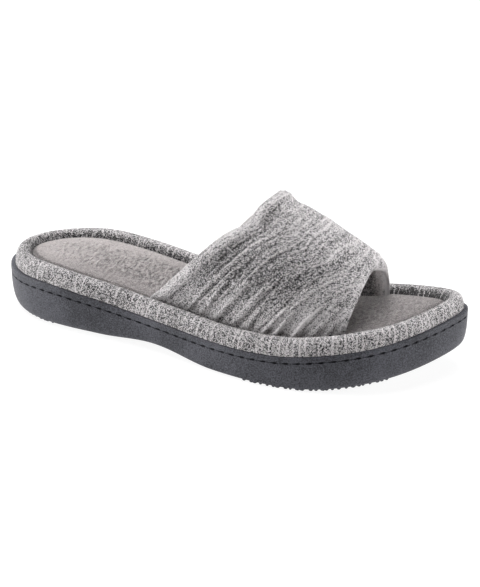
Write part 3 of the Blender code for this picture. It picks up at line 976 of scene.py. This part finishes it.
def lug_sheets(settings):
    """Tread: on every second cell of each field a closed, flattened superellipsoid that ends on the floor.

    A row of small nubs runs along the foot's edge, outside the lugs.
    """
    edge = SoleEdge(TREAD_RUNGS)
    foot = edge.ring(smooth_table(edge.along, SOLE_STATIONS, "foot_inset") + NUB_ROW, 0)
    corners = rungs_across(foot, TREAD_RUNGS, TREAD_CELLS)
    centre = (corners[:-1, :-1] + corners[1:, :-1] + corners[1:, 1:] + corners[:-1, 1:]) / 4
    row, cell = np.indices(centre.shape[:2])
    chosen = ((row + cell) % 2 == 0) & in_fields(centre[..., 0], TREAD_FIELDS)
    size_along = np.linalg.norm(corners[1:, :-1] - corners[:-1, :-1], axis=-1)[chosen]
    size_across = np.linalg.norm(corners[:-1, 1:] - corners[:-1, :-1], axis=-1)[chosen]
    lugs, lug_half = centre[chosen], np.column_stack([size_along, size_across]) / 2 - LUG_MARGIN
    nubs, nub_half = edge_nubs(settings)
    shapes = [tread_block(LUG_POWER)] * len(lugs) + [tread_block(NUB_POWER)] * len(nubs)
    sheets = []
    for place, half, shape in zip(np.vstack([lugs, nubs]), np.vstack([lug_half, nub_half]), shapes):
        points = place + shape * np.append(half, settings.lug_height)
        points[..., 2] += floor_clearance(points[..., 0], points[..., 1]) + settings.lug_height
        sheets.append(ring_sheet(points))
    return sheets, edge.middle


def tread_block(power):
    """A superellipsoid of half sizes 1: a sphere's sines and cosines to a power. Low powers are squarer."""
    turn = np.linspace(0, 2 * np.pi, 13)[:-1][None, :]
    rise = np.linspace(-np.pi / 2, np.pi / 2, 7)[:, None]

    def block(value):
        """The value's size to the power, with its sign."""
        return np.sign(value) * np.abs(value) ** power

    flat_x = block(np.cos(rise)) * block(np.cos(turn))
    flat_y = block(np.cos(rise)) * block(np.sin(turn))
    return np.stack([flat_x, flat_y, block(np.sin(rise)) * np.ones_like(turn)], axis=-1)


def edge_nubs(settings):
    """Places and half sizes of the small nubs in a row along the foot's edge, in their own fields."""
    edge = SoleEdge(settings.rungs)
    count = round(edge.run[-1] / NUB_PITCH)
    number = np.arange(count, dtype=float)
    uneven = soft_noise(number, np.zeros(count), seed=61)
    step = number + NUB_SHIFT * soft_noise(number, np.ones(count), seed=62)
    at = np.searchsorted(edge.run[:-1], step * edge.run[-1] / count)
    inset = smooth_table(edge.along, SOLE_STATIONS, "foot_inset")
    places = edge.ring(inset + NUB_INSET * NUB_ROW, 0)[np.minimum(at, len(edge.along) - 1)]
    chosen = in_fields(places[:, 0], NUB_FIELDS)
    shortest, longest = NUB_HALF_LENGTHS
    half_along = NUB_PITCH * (shortest + (longest - shortest) * uneven)
    half = np.column_stack([half_along, np.full(count, NUB_HALF_WIDTH * NUB_ROW)])
    return places[chosen], half[chosen]


class SLIPPER_OT_outsole(bpy.types.Operator):
    """Make the moulded outsole with its groove, mock stitches and tread lugs"""

    bl_idname = "slipper.outsole"
    bl_label = "Make outsole"

    def execute(self, context):
        settings = context.scene.slipper_outsole
        edge = SoleEdge(settings.rungs)
        rings, groove = outsole_rings(edge, settings)
        deck = rungs_across(rings[0], edge.rungs, 1)
        underside = rungs_across(rings[-1], edge.rungs, 10)
        underside[..., 2] = floor_clearance(underside[..., 0], underside[..., 1]) + settings.lug_height
        rubber = bpy.data.materials["moulded_rubber"]
        sheets = [ring_sheet(rings, groove=groove), plain_sheet(deck), plain_sheet(underside)]
        outsole = add_piece("moulded_outsole", sheets, edge.middle, rubber)
        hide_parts("outsole")
        lugs, middle = lug_sheets(settings)
        add_piece("tread_lugs", lugs, middle, rubber, sharp_angle=60)
        return {"FINISHED"}


class SLIPPER_OT_rim(bpy.types.Operator):
    """Make the padded knit rim round the footbed"""

    bl_idname = "slipper.rim"
    bl_label = "Make rim"

    def execute(self, context):
        settings = context.scene.slipper_rim
        edge = SoleEdge(settings.rungs)
        run = edge.run[:-1]
        lumps = round(edge.run[-1] / RIM_LUMP_LENGTH)
        lump = soft_noise(run / edge.run[-1] * lumps, 0.0 * run, seed=3, period=lumps) - 0.5
        setback = smooth_table(edge.along, SOLE_STATIONS, "rim_setback")
        height = settings.height * (1 + RIM_LUMP_SHARE * lump)
        rings = []
        for turn in np.linspace(0, np.pi, settings.steps + 1):
            across = np.sign(np.cos(turn)) * abs(np.cos(turn)) ** (2 / settings.squareness)
            rise = max(np.sin(turn), 0) ** (2 / settings.squareness)
            inset = setback + (settings.inner_edge - setback) * (1 - across) / 2
            rings.append(edge.over_deck(inset, GAP + height * rise))
        rings = np.array(rings)
        closed = np.concatenate([rings, rings[:1]], axis=0)
        closed = np.concatenate([closed, closed[:, :1]], axis=1)
        flat = flat_lengths(closed)
        flat = np.stack([np.broadcast_to(edge.run, flat.shape[:2]), flat[..., 0]], axis=-1)
        streak = rim_streaks(run, edge.run[-1], flat[:-1, :-1, 1])
        # Painted shade on the rim's inner face, with more towards the toe
        inner_face = ramp(np.linspace(0, 1, settings.steps + 1), start=0.56, run=0.22)[:, None]
        at_toe = ramp(edge.along, start=190 * MM, run=30 * MM)
        streak -= inner_face * (INNER_FACE_PAINTED_SHADE + TOE_FACE_PAINTED_SHADE * at_toe)
        sheet = Sheet(rings, flat, {"streak": streak}, wrap_rows=True, wrap_columns=True)
        rim = add_piece("padded_rim", [sheet], edge.middle, bpy.data.materials["heathered_rim"])
        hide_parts("rim")
        return {"FINISHED"}


def thin_lines(cell, reach, width, seed, period=None):
    """Thin lines, 0 to 1: one in each cell, at a place in it and as strong as its noise says.

    The width is a share of the cell. Reach is the place along the lines, 1 for the length of a change.
    """
    whole = np.floor(cell)
    middle = 0.25 + 0.5 * soft_noise(whole, 0.9 * reach, seed, period)
    strength = ramp(soft_noise(whole, reach, seed + 3, period), start=0.3, run=0.5)
    return strength * bell(cell - whole, middle, width)


def rim_streaks(run, total, over):
    """Streaks over the rim, about 0 to 1: soft light and dark zones, and narrow light ribs over the roll.

    The zones are noise, in whole numbers of streaks round the rim.
    """
    streak = np.full(over.shape, RIM_SHADE)
    for layer in RIM_LAYERS:
        count = round(total / (layer.width * MM))
        noise = soft_noise(run / total * count, over / (layer.reach * MM), layer.seed, period=count)
        streak += layer.weight * (noise - 0.5)
    lines = RIM_LINES
    count = round(total / (lines.pitch * MM))
    thin = thin_lines(run / total * count, over / (lines.reach * MM), lines.width, lines.seed, count)
    return streak + lines.weight * thin


def footbed_inset(edge, form, rise):
    """How far the footbed's edge lies inside the outsole's, at a rise over the deck.

    Between the upper's feet it makes room for their wall, and that notch leans with the upper's edges.
    """
    given = form.settings
    arch = np.arcsin((rise / UPPER_RISE) ** (given.fullness / 2)) / np.pi
    outer_side = np.arange(len(edge.along)) <= edge.rungs
    rear, front = form.edges(np.where(outer_side, arch, 1 - arch))
    slope, margin = 2.5 * MM, given.wall / 2 + GAP
    from_rear = ramp(edge.along, start=rear - margin - slope, run=slope)
    from_front = ramp(edge.along, start=front + margin + slope, run=-slope)
    return form.foot_inset + np.minimum(from_rear, from_front) * (given.wall + GAP)


def pile_swell(points):
    """Soft swells of the pad, 0 to 1: noise that is longer across the foot than along it."""
    along, across = points[..., 0], points[..., 1]
    short = soft_noise(along / (6 * MM), across / (14 * MM), seed=22)
    long = soft_noise(along / (15 * MM), across / (20 * MM), seed=24)
    return 0.6 * short + 0.4 * long


def pile_marks(top, inside):
    """Painted light on the pile, and where it is creased, 0 to 1 each.

    Painted light is full at the heel, with painted shade towards the toe and the outer side. The creases keep
    clear of the pad's edge and are deepest under the heel.
    """
    along, across = top[..., 0], top[..., 1]
    # Painted shade towards the toe and the outer side
    shade_ahead = 0.75 * ramp(along, start=40 * MM, run=110 * MM)
    shade_outside = 0.4 * ramp(across, start=-4 * MM, run=-20 * MM)
    under_heel = 0.35 + 0.65 * bell(along, middle=80 * MM, width=45 * MM)
    creased = ramp(inside, start=4 * MM, run=9 * MM) * under_heel
    return {"brushed": (1 - shade_ahead) * (1 - shade_outside), "creased": creased}


class SLIPPER_OT_footbed(bpy.types.Operator):
    """Make the plush footbed inside the rim"""

    bl_idname = "slipper.footbed"
    bl_label = "Make footbed"

    def execute(self, context):
        settings = context.scene.slipper_footbed
        edge = SoleEdge(settings.rungs)
        form = UpperForm(context.scene.slipper_upper, edge, context.scene.slipper_rim)
        low = GAP + settings.edge - settings.round_edge
        rings = [edge.over_deck(footbed_inset(edge, form, rise), rise) for rise in (GAP, low / 2)]
        for turn in np.linspace(0, np.pi / 2, 7):
            rise = low + settings.round_edge * np.sin(turn)
            draw_in = settings.round_edge * (1 - np.cos(turn))
            rings.append(edge.over_deck(footbed_inset(edge, form, rise) + draw_in, rise))
        rings = np.array(rings)
        top = rungs_across(rings[-1], edge.rungs, settings.cells)
        share = np.linspace(-1, 1, settings.cells + 1)
        width = np.linalg.norm(top[:, -1] - top[:, 0], axis=1)
        top[..., 2] += settings.crown * (width / width.max())[:, None] * (1 - share**2)
        inside = (1 - np.abs(share)) * width[:, None] / 2
        top[..., 2] += settings.swell * (pile_swell(top) - 0.5) * ramp(inside, start=0, run=4 * MM)
        sheets = [
            Sheet(top, flat_lengths(top), pile_marks(top, inside)),
            ring_sheet(rings),
            plain_sheet(rungs_across(rings[0], edge.rungs, 1)),
        ]
        footbed = add_piece(
            "plush_footbed", sheets, edge.middle, bpy.data.materials["brushed_footbed"]
        )
        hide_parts("footbed")
        return {"FINISHED"}


class UpperForm:
    """The outer face of the upper as a function of two shares: rear to front, and outer to inner side.

    At each share of the arch the place along goes straight from the rear edge to the front edge. There
    the section is a superellipse from foot to foot, as high as the crown.
    """

    def __init__(self, settings, edge, rim):
        self.settings = settings
        self.foot_inset = rim.inner_edge + GAP
        self.outer = edge.side_line(self.foot_inset, inner_side=False)
        self.inner = edge.side_line(self.foot_inset, inner_side=True)

    def edges(self, arch):
        """Where the rear and the front edge lie along the foot, at shares of the arch."""
        given = self.settings
        rise = np.maximum(np.sin(np.pi * arch), 0)
        rear_foot = np.where(arch < 0.5, given.rear_outer, given.rear_inner)
        front_foot = np.where(arch < 0.5, given.front_outer, given.front_inner)
        rear = rear_foot + (given.rear_crown - rear_foot) * rise**given.lean_power
        rear = rear + given.rear_dip * bell(arch, middle=0.31, width=0.05)
        front = front_foot + (given.front_crown - front_foot) * rise
        highest_bow = 27 / 256  # of rise**3 * (1 - rise)
        bow = given.front_bow * rise**3 * (1 - rise) / highest_bow
        return rear, front + np.where(arch < 0.5, bow, 0)

    def face(self, length, arch):
        """Points of the outer face at shares from rear to front and of the arch."""
        rear, front = self.edges(arch)
        along = rear + (front - rear) * length
        turn = -np.cos(np.pi * arch)
        power = 2 / self.settings.fullness
        across = np.sign(turn) * np.abs(turn) ** power
        rise = np.maximum(np.sin(np.pi * arch), 0) ** power
        outer_foot = np.interp(along, self.outer[:, 0], self.outer[:, 1])
        inner_foot = np.interp(along, self.inner[:, 0], self.inner[:, 1])
        side = (outer_foot + inner_foot) / 2 + across * (inner_foot - outer_foot) / 2
        foot = smooth_table(along, SOLE_STATIONS, "top_edge") + GAP
        crown = smooth_table(along, UPPER_STATIONS, "crown")
        side = side + self.settings.crown_shift * rise**2
        return np.stack([along, side, foot + (crown - foot) * rise], axis=-1)


# The upper's outer face: its points, its outward and forward directions, and lengths from both edges
UpperFace = namedtuple("UpperFace", "points outward forward from_rear from_front")


def upper_face(form, length, arch):
    """The outer face on a grid. At both feet it faces straight sideways."""
    points = form.face(length, arch)
    forward = unit(np.gradient(points, axis=0))
    outward = np.cross(forward, unit(np.gradient(points, axis=1)))
    outward[:, [0, -1], 2] = 0
    from_rear = flat_lengths(points)[..., 0]
    return UpperFace(points, unit(outward), forward, from_rear, from_rear[-1:] - from_rear)


def rib_place(form, face, arch):
    """How far a point lies from the rear edge along the foot, fanned out to the crown as the ribs are."""
    rear, _ = form.edges(arch)
    return (face.points[..., 0] - rear) * (1 + RIB_FAN * np.sin(np.pi * arch))


def rib_flat(place, arch, arch_run):
    """Flat coordinates over the ribs and along them, true to size at the foot and the crown.

    The ribs lean by RIB_LEAN at both feet and not at all at the crown.
    """
    lean = RIB_LEAN * (1 - np.sin(np.pi * arch)) * np.sign(0.5 - arch)
    steps = np.diff(arch_run, prepend=0.0) / np.cos(lean)
    return np.stack([place * math.cos(RIB_LEAN), place * np.sin(lean) + np.cumsum(steps, axis=1)], axis=-1)


def upper_ribs(place, arch, arch_run, wander):
    """Height of the ribs of the table: each a bell across, with a valley half as deep in front of it.

    They fade out at both ends, and noise along them makes them uneven.
    """
    ribs = np.zeros(place.shape)
    uneven = 0.2 + 1.1 * soft_noise(place / (7 * MM), arch_run / (5 * MM), seed=46)
    for rib in UPPER_RIBS:
        reach, width = rib.end - rib.start, rib.width * MM
        fade = 0.25 * reach
        ends = ramp(arch, start=rib.start - fade / 2, run=fade)
        ends = ends * ramp(arch, start=rib.end + fade / 2, run=-fade)
        share = np.clip((arch - rib.start) / reach, 0, 1)
        away = place + wander - (rib.place + rib.sweep * share) * MM
        profile = bell(away, 0, width) - 0.5 * bell(away, 2.1 * width, width)
        ribs += rib.height * MM * ends * uneven * profile
    return ribs


def upper_streaks(place, arch_run):
    """Streaks of the upper, about 0 to 1: layers of noise and thin light lines, both long over the arch."""
    streak = np.full(place.shape, UPPER_SHADE)
    for layer in UPPER_LAYERS:
        noise = soft_noise(place / (layer.width * MM), arch_run / (layer.reach * MM), layer.seed)
        streak += layer.weight * (noise - 0.5)
    lines = UPPER_LINES
    thin = thin_lines(place / (lines.pitch * MM), arch_run / (lines.reach * MM), lines.width, lines.seed)
    return streak + lines.weight * thin


def crown_share(arch):
    """1 at the crown of the arch, falling off soon to both sides."""
    return np.sin(np.pi * arch) ** 6


def rear_dome(arch):
    """Where the rear edge swells to a dome round the crown, 0 to 1."""
    return ramp(arch, start=0.31, run=0.10) * ramp(arch, start=0.68, run=-0.10)


def hem_relief(face, arch):
    """Relief along the upper's edges, with its amounts in millimetres.

    The rear edge swells, most at the dome and least in the dent beside it, and dips in front of the swell.
    The front edge has the line of its hem. Both edges are rounded off.
    """
    rear, front, dome = face.from_rear, face.from_front, rear_dome(arch)
    dent = bell(arch, middle=0.305, width=0.035)
    swell = 0.6 + 1.6 * dome - 1.9 * dent
    swell = swell * bell(rear, middle=(4.0 - 1.8 * dome) * MM, width=(5.0 + 1.0 * dome) * MM)
    dip = 1.3 * (1 - 0.6 * crown_share(arch)) * bell(rear, middle=10.5 * MM, width=4.2 * MM)
    hem_line = 0.3 * bell(front, middle=4.5 * MM, width=0.7 * MM)
    rear_round = 1.6 * (1 - 0.5 * dome) * np.clip(1 - rear / (5.0 * MM), 0, 1) ** 2
    front_round = 1.0 * np.clip(1 - front / (3.0 * MM), 0, 1) ** 2
    return (swell - dip - hem_line - rear_round - front_round) * MM


def upper_painted_shading(face, arch, place):
    """Painted light and shade on the upper, as a change of its knit's tone.

    Both edges get a painted highlight, and the dip beside the rear one painted shade away from the dome.
    The outer side gets painted shade, but little so ahead. Ahead the sides get painted light, the outer foot
    most, and the crown painted shade.
    """
    rear, ahead = face.from_rear, ramp(place, start=62 * MM, run=16 * MM)
    edges = 0.20 * bell(rear, middle=1.0 * MM, width=4.5 * MM)
    edges += 0.06 * ramp(face.from_front, start=5.0 * MM, run=-1.5 * MM)
    dip = 0.08 * (1 - 0.8 * rear_dome(arch)) * bell(rear, middle=11.5 * MM, width=4.5 * MM)
    outer_side = 0.26 * bell(arch, middle=0.17, width=0.09) * (1 - 0.8 * ahead)
    outer_foot = 0.03 * ramp(arch, start=0.13, run=-0.05)
    return 0.07 + edges - dip - outer_side + (0.10 - 0.26 * crown_share(arch) + outer_foot) * ahead


def wall_thickness(settings, arch, from_front):
    """Thickness of the upper's wall: towards the front hem it thins at the feet and swells at the crown."""
    crown = ramp(arch, start=0.20, run=0.30) * ramp(arch, start=0.90, run=-0.30)
    change = (settings.flare + settings.lip) * crown - settings.flare
    return settings.wall + change * ramp(from_front, start=9 * MM, run=-8 * MM)


class SLIPPER_OT_upper(bpy.types.Operator):
    """Make the padded knit upper with its turned hems, and the fleece lining inside it"""

    bl_idname = "slipper.upper"
    bl_label = "Make upper"

    def execute(self, context):
        settings, rim = context.scene.slipper_upper, context.scene.slipper_rim
        edge = SoleEdge(rim.rungs)
        form = UpperForm(settings, edge, rim)
        length = np.linspace(0, 1, settings.length_steps + 1)[:, None]
        arch = np.linspace(0, 1, settings.arch_steps + 1)[None, :]
        face = upper_face(form, length, arch)
        arch_run = flat_lengths(face.points)[settings.length_steps // 2, :, 1][None, :]
        place = rib_place(form, face, arch)
        wander = 2.2 * MM * (soft_noise(place / (30 * MM), arch_run / (25 * MM), seed=40) - 0.5)
        ribs = upper_ribs(place, arch, arch_run, wander)
        streak = upper_streaks(place + wander, arch_run)
        grain = soft_noise(place / (1.2 * MM), arch_run / (1.3 * MM), seed=45)
        relief = ribs + STREAK_RELIEF * (streak - 0.5) + GRAIN_RELIEF * (grain - 0.5) + hem_relief(face, arch)
        foot_run = np.minimum(arch_run, arch_run.max() - arch_run)
        relief = relief * ramp(foot_run, start=5 * MM, run=6 * MM)
        outside = face.points + face.outward * relief[..., None]
        # Painted light and shade on the upper: lighter ribs with painted shade in their valleys, painted
        # highlights on the edges, and painted light and shade by zone
        streak = streak + RIB_TONE_AND_SHADE * ribs + upper_painted_shading(face, arch, place)
        flat = rib_flat(place, arch, arch_run)
        wall = wall_thickness(settings, arch, face.from_front)
        self.make_knit(settings, face, outside, wall, streak, flat, edge.middle)
        self.make_lining(settings, form, edge.middle)
        return {"FINISHED"}

    def make_knit(self, settings, face, outside, wall, streak, flat, origin):
        """The knit wall: outer face, round hems at both ends and an inner face that steps in past them."""
        end = np.minimum(face.from_rear, face.from_front)
        step_in = ramp(end, start=settings.hem, run=1.5 * MM)
        depth = np.minimum(wall, wall + (settings.knit - wall) * step_in)
        inside = face.points - face.outward * depth[..., None]
        turns = np.linspace(0, np.pi / 2, 9)[1:]

        def hem(row, direction, sign):
            """Rows from one face of the wall to the hem's tip, which lies half a wall past the edge."""
            centre = (outside[row] + inside[row]) / 2
            thick = sign * (outside[row] - inside[row]) / 2
            tip = direction[row] * np.maximum(settings.wall, depth[row])[:, None] / 2
            return np.array([centre + np.cos(turn) * thick + np.sin(turn) * tip for turn in turns])

        ahead, behind = face.forward, -face.forward
        outer_rows = np.concatenate([hem(0, behind, 1)[::-1], outside, hem(-1, ahead, 1)])
        inner_rows = np.concatenate([hem(0, behind, -1)[::-1], inside, hem(-1, ahead, -1)])
        steps = len(turns)
        knit_tone_rows = np.pad(streak, ((steps, steps), (0, 0)), mode="edge")
        arc = np.zeros((steps, 1, 2))
        arc[:, 0, 0] = turns * settings.wall / 2
        flat_rows = np.concatenate([flat[:1] - arc[::-1], flat, flat[-1:] + arc])
        feet = [np.stack([outer_rows[:, c], inner_rows[:, c]], axis=1) for c in (0, -1)]
        sheets = [
            Sheet(outer_rows, flat_rows, {"streak": knit_tone_rows}),
            # Painted light on the knit's inner face, where it shows at the hems
            Sheet(inner_rows, flat_lengths(inner_rows), {"streak": knit_tone_rows + INNER_PAINTED_LIGHT}),
            *[plain_sheet(foot) for foot in feet],
        ]
        upper = add_piece("knit_upper", sheets, origin, bpy.data.materials["heathered_upper"])
        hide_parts("upper")

    def make_lining(self, settings, form, origin):
        """The lining: a thin wall inside the knit, from hem to hem and from foot to foot."""
        arch = np.linspace(0, 1, settings.arch_steps // 2 + 1)[None, :]
        rear, front = form.edges(arch)
        trim = (settings.hem + 2 * LINING_CLEARANCE) / (front - rear)
        share = np.linspace(0, 1, settings.length_steps // 2 + 1)[:, None]
        length = trim + (1 - 2 * trim) * share
        face = upper_face(form, length, arch)
        wall = wall_thickness(settings, arch, (1 - length) * (front - rear))
        at_ends = ramp(np.abs(2 * share - 1), start=0.96, run=0.04)
        deep = wall - LINING_CLEARANCE - LINING_THINNED * at_ends
        deep = np.maximum(deep, settings.knit + 2 * LINING_CLEARANCE)
        outer = face.points - face.outward * (settings.knit + LINING_CLEARANCE)
        inner = face.points - face.outward * deep[..., None]
        rows = [np.stack([outer[r], inner[r]], axis=0) for r in (0, -1)]
        feet = [np.stack([outer[:, c], inner[:, c]], axis=1) for c in (0, -1)]
        from_end = np.minimum(length, 1 - length) * (front - rear)
        # Painted light on the lining near its ends, and painted shade deeper inside
        brushed = ramp(from_end, start=9 * MM, run=-6 * MM)
        sheets = [
            Sheet(inner, flat_lengths(inner), {"brushed": brushed}),
            *[plain_sheet(grid) for grid in (outer, *rows, *feet)],
        ]
        add_piece("fleece_lining", sheets, origin, bpy.data.materials["brushed_lining"])


class SLIPPER_OT_stage(bpy.types.Operator):
    """Make the floor, the lights and the camera"""

    bl_idname = "slipper.stage"
    bl_label = "Make stage"

    def execute(self, context):
        scene = context.scene
        settings = scene.slipper_stage
        self.make_floor(scene, settings)
        self.make_lights(scene)
        self.make_camera(scene, settings)
        scene.view_settings.view_transform = "Standard"
        return {"FINISHED"}

    def make_floor(self, scene, settings):
        """A pale square of paper under the slipper, with a glow of its own so that it stays white."""
        reach, low = FLOOR_REACH, CAD_BOX[0][2]
        mesh = bpy.data.meshes.new("floor")
        corners = [(-reach, -reach, low), (reach, -reach, low), (reach, reach, low), (-reach, reach, low)]
        mesh.from_pydata(corners, [], [(0, 1, 2, 3)])
        material, shader, _ = new_material("floor_paper")
        set_inputs(shader, Base_Color=rgba(settings.floor), Roughness=0.9, Specular_IOR_Level=0.1)
        set_inputs(shader, Emission_Color=WHITE, Emission_Strength=FLOOR_GLOW)
        mesh.materials.append(material)
        floor = bpy.data.objects.new("floor", mesh)
        scene.collection.objects.link(floor)

    def make_lights(self, scene):
        """A plain sky that is brighter towards the far side, and the soft boxes."""
        world = bpy.data.worlds.new("studio")
        world.use_nodes = True
        make = NodeWriter(world.node_tree)
        sky = world.node_tree.nodes["Background"]
        set_inputs(sky, Color=WHITE)
        split = make.add("ShaderNodeSeparateXYZ")
        make.feed(split.inputs[0], make.add("ShaderNodeTexCoord").outputs["Generated"])
        strength = make.smooth_range(split.outputs[1], From_Min=-0.6, From_Max=0.6, To_Min=0.01, To_Max=0.25)
        make.feed(sky.inputs["Strength"], strength)
        scene.world = world
        for box in SOFT_BOXES:
            data = bpy.data.lights.new(box.name, "AREA")
            data.energy = box.power
            data.size = box.size
            light = bpy.data.objects.new(box.name, data)
            light.location = box.place
            light.rotation_euler = Vector(box.place).to_track_quat("Z", "Y").to_euler()
            scene.collection.objects.link(light)

    def make_camera(self, scene, settings):
        """The photograph's view: back from the target by the distance, along azimuth and elevation."""
        middle = SoleEdge(TREAD_RUNGS).middle
        back = Vector(
            (
                math.sin(settings.azimuth) * math.cos(settings.elevation),
                -math.cos(settings.azimuth) * math.cos(settings.elevation),
                math.sin(settings.elevation),
            )
        )
        data = bpy.data.cameras.new("photo_view")
        data.lens = settings.lens
        data.sensor_width = 36.0
        data.clip_end = 20.0
        camera = bpy.data.objects.new("photo_view", data)
        camera.location = Vector(settings.target) - Vector(middle) + back * settings.distance
        camera.rotation_euler = back.to_track_quat("Z", "Y").to_euler()
        scene.collection.objects.link(camera)
        scene.camera = camera


class SLIPPER_PT_pieces(bpy.types.Panel):
    """Lists the slipper's pieces and their sizes"""

    bl_idname = "SLIPPER_PT_pieces"
    bl_label = "Slide slipper"
    bl_space_type = "VIEW_3D"
    bl_region_type = "UI"
    bl_category = "Slipper"

    def draw(self, context):
        """A button for each operator, with its settings under it."""
        for operator, group in OPERATORS:
            self.layout.operator(operator.bl_idname)
            if group is None:
                continue
            settings = getattr(context.scene, group)
            box = self.layout.box()
            for name in settings.__annotations__:
                box.prop(settings, name)


SETTINGS = {
    "slipper_outsole": OutsoleSettings,
    "slipper_rim": RimSettings,
    "slipper_footbed": FootbedSettings,
    "slipper_upper": UpperSettings,
    "slipper_stage": StageSettings,
}
OPERATORS = (
    (SLIPPER_OT_finishes, None),
    (SLIPPER_OT_outsole, "slipper_outsole"),
    (SLIPPER_OT_rim, "slipper_rim"),
    (SLIPPER_OT_footbed, "slipper_footbed"),
    (SLIPPER_OT_upper, "slipper_upper"),
    (SLIPPER_OT_stage, "slipper_stage"),
)


def register():
    """Registers the settings, the operators and the panel."""
    for name, group in SETTINGS.items():
        bpy.utils.register_class(group)
        setattr(bpy.types.Scene, name, PointerProperty(type=group))
    for operator, _ in OPERATORS:
        bpy.utils.register_class(operator)
    bpy.utils.register_class(SLIPPER_PT_pieces)


def unregister():
    """Takes back what register did."""
    bpy.utils.unregister_class(SLIPPER_PT_pieces)
    for operator, _ in reversed(OPERATORS):
        bpy.utils.unregister_class(operator)
    for name, group in SETTINGS.items():
        delattr(bpy.types.Scene, name)
        bpy.utils.unregister_class(group)


def main():
    """Makes the slipper and its stage."""
    register()
    bpy.ops.slipper.finishes()
    bpy.ops.slipper.outsole()
    bpy.ops.slipper.rim()
    bpy.ops.slipper.footbed()
    bpy.ops.slipper.upper()
    bpy.ops.slipper.stage()


if __name__ == "__main__":
    main()
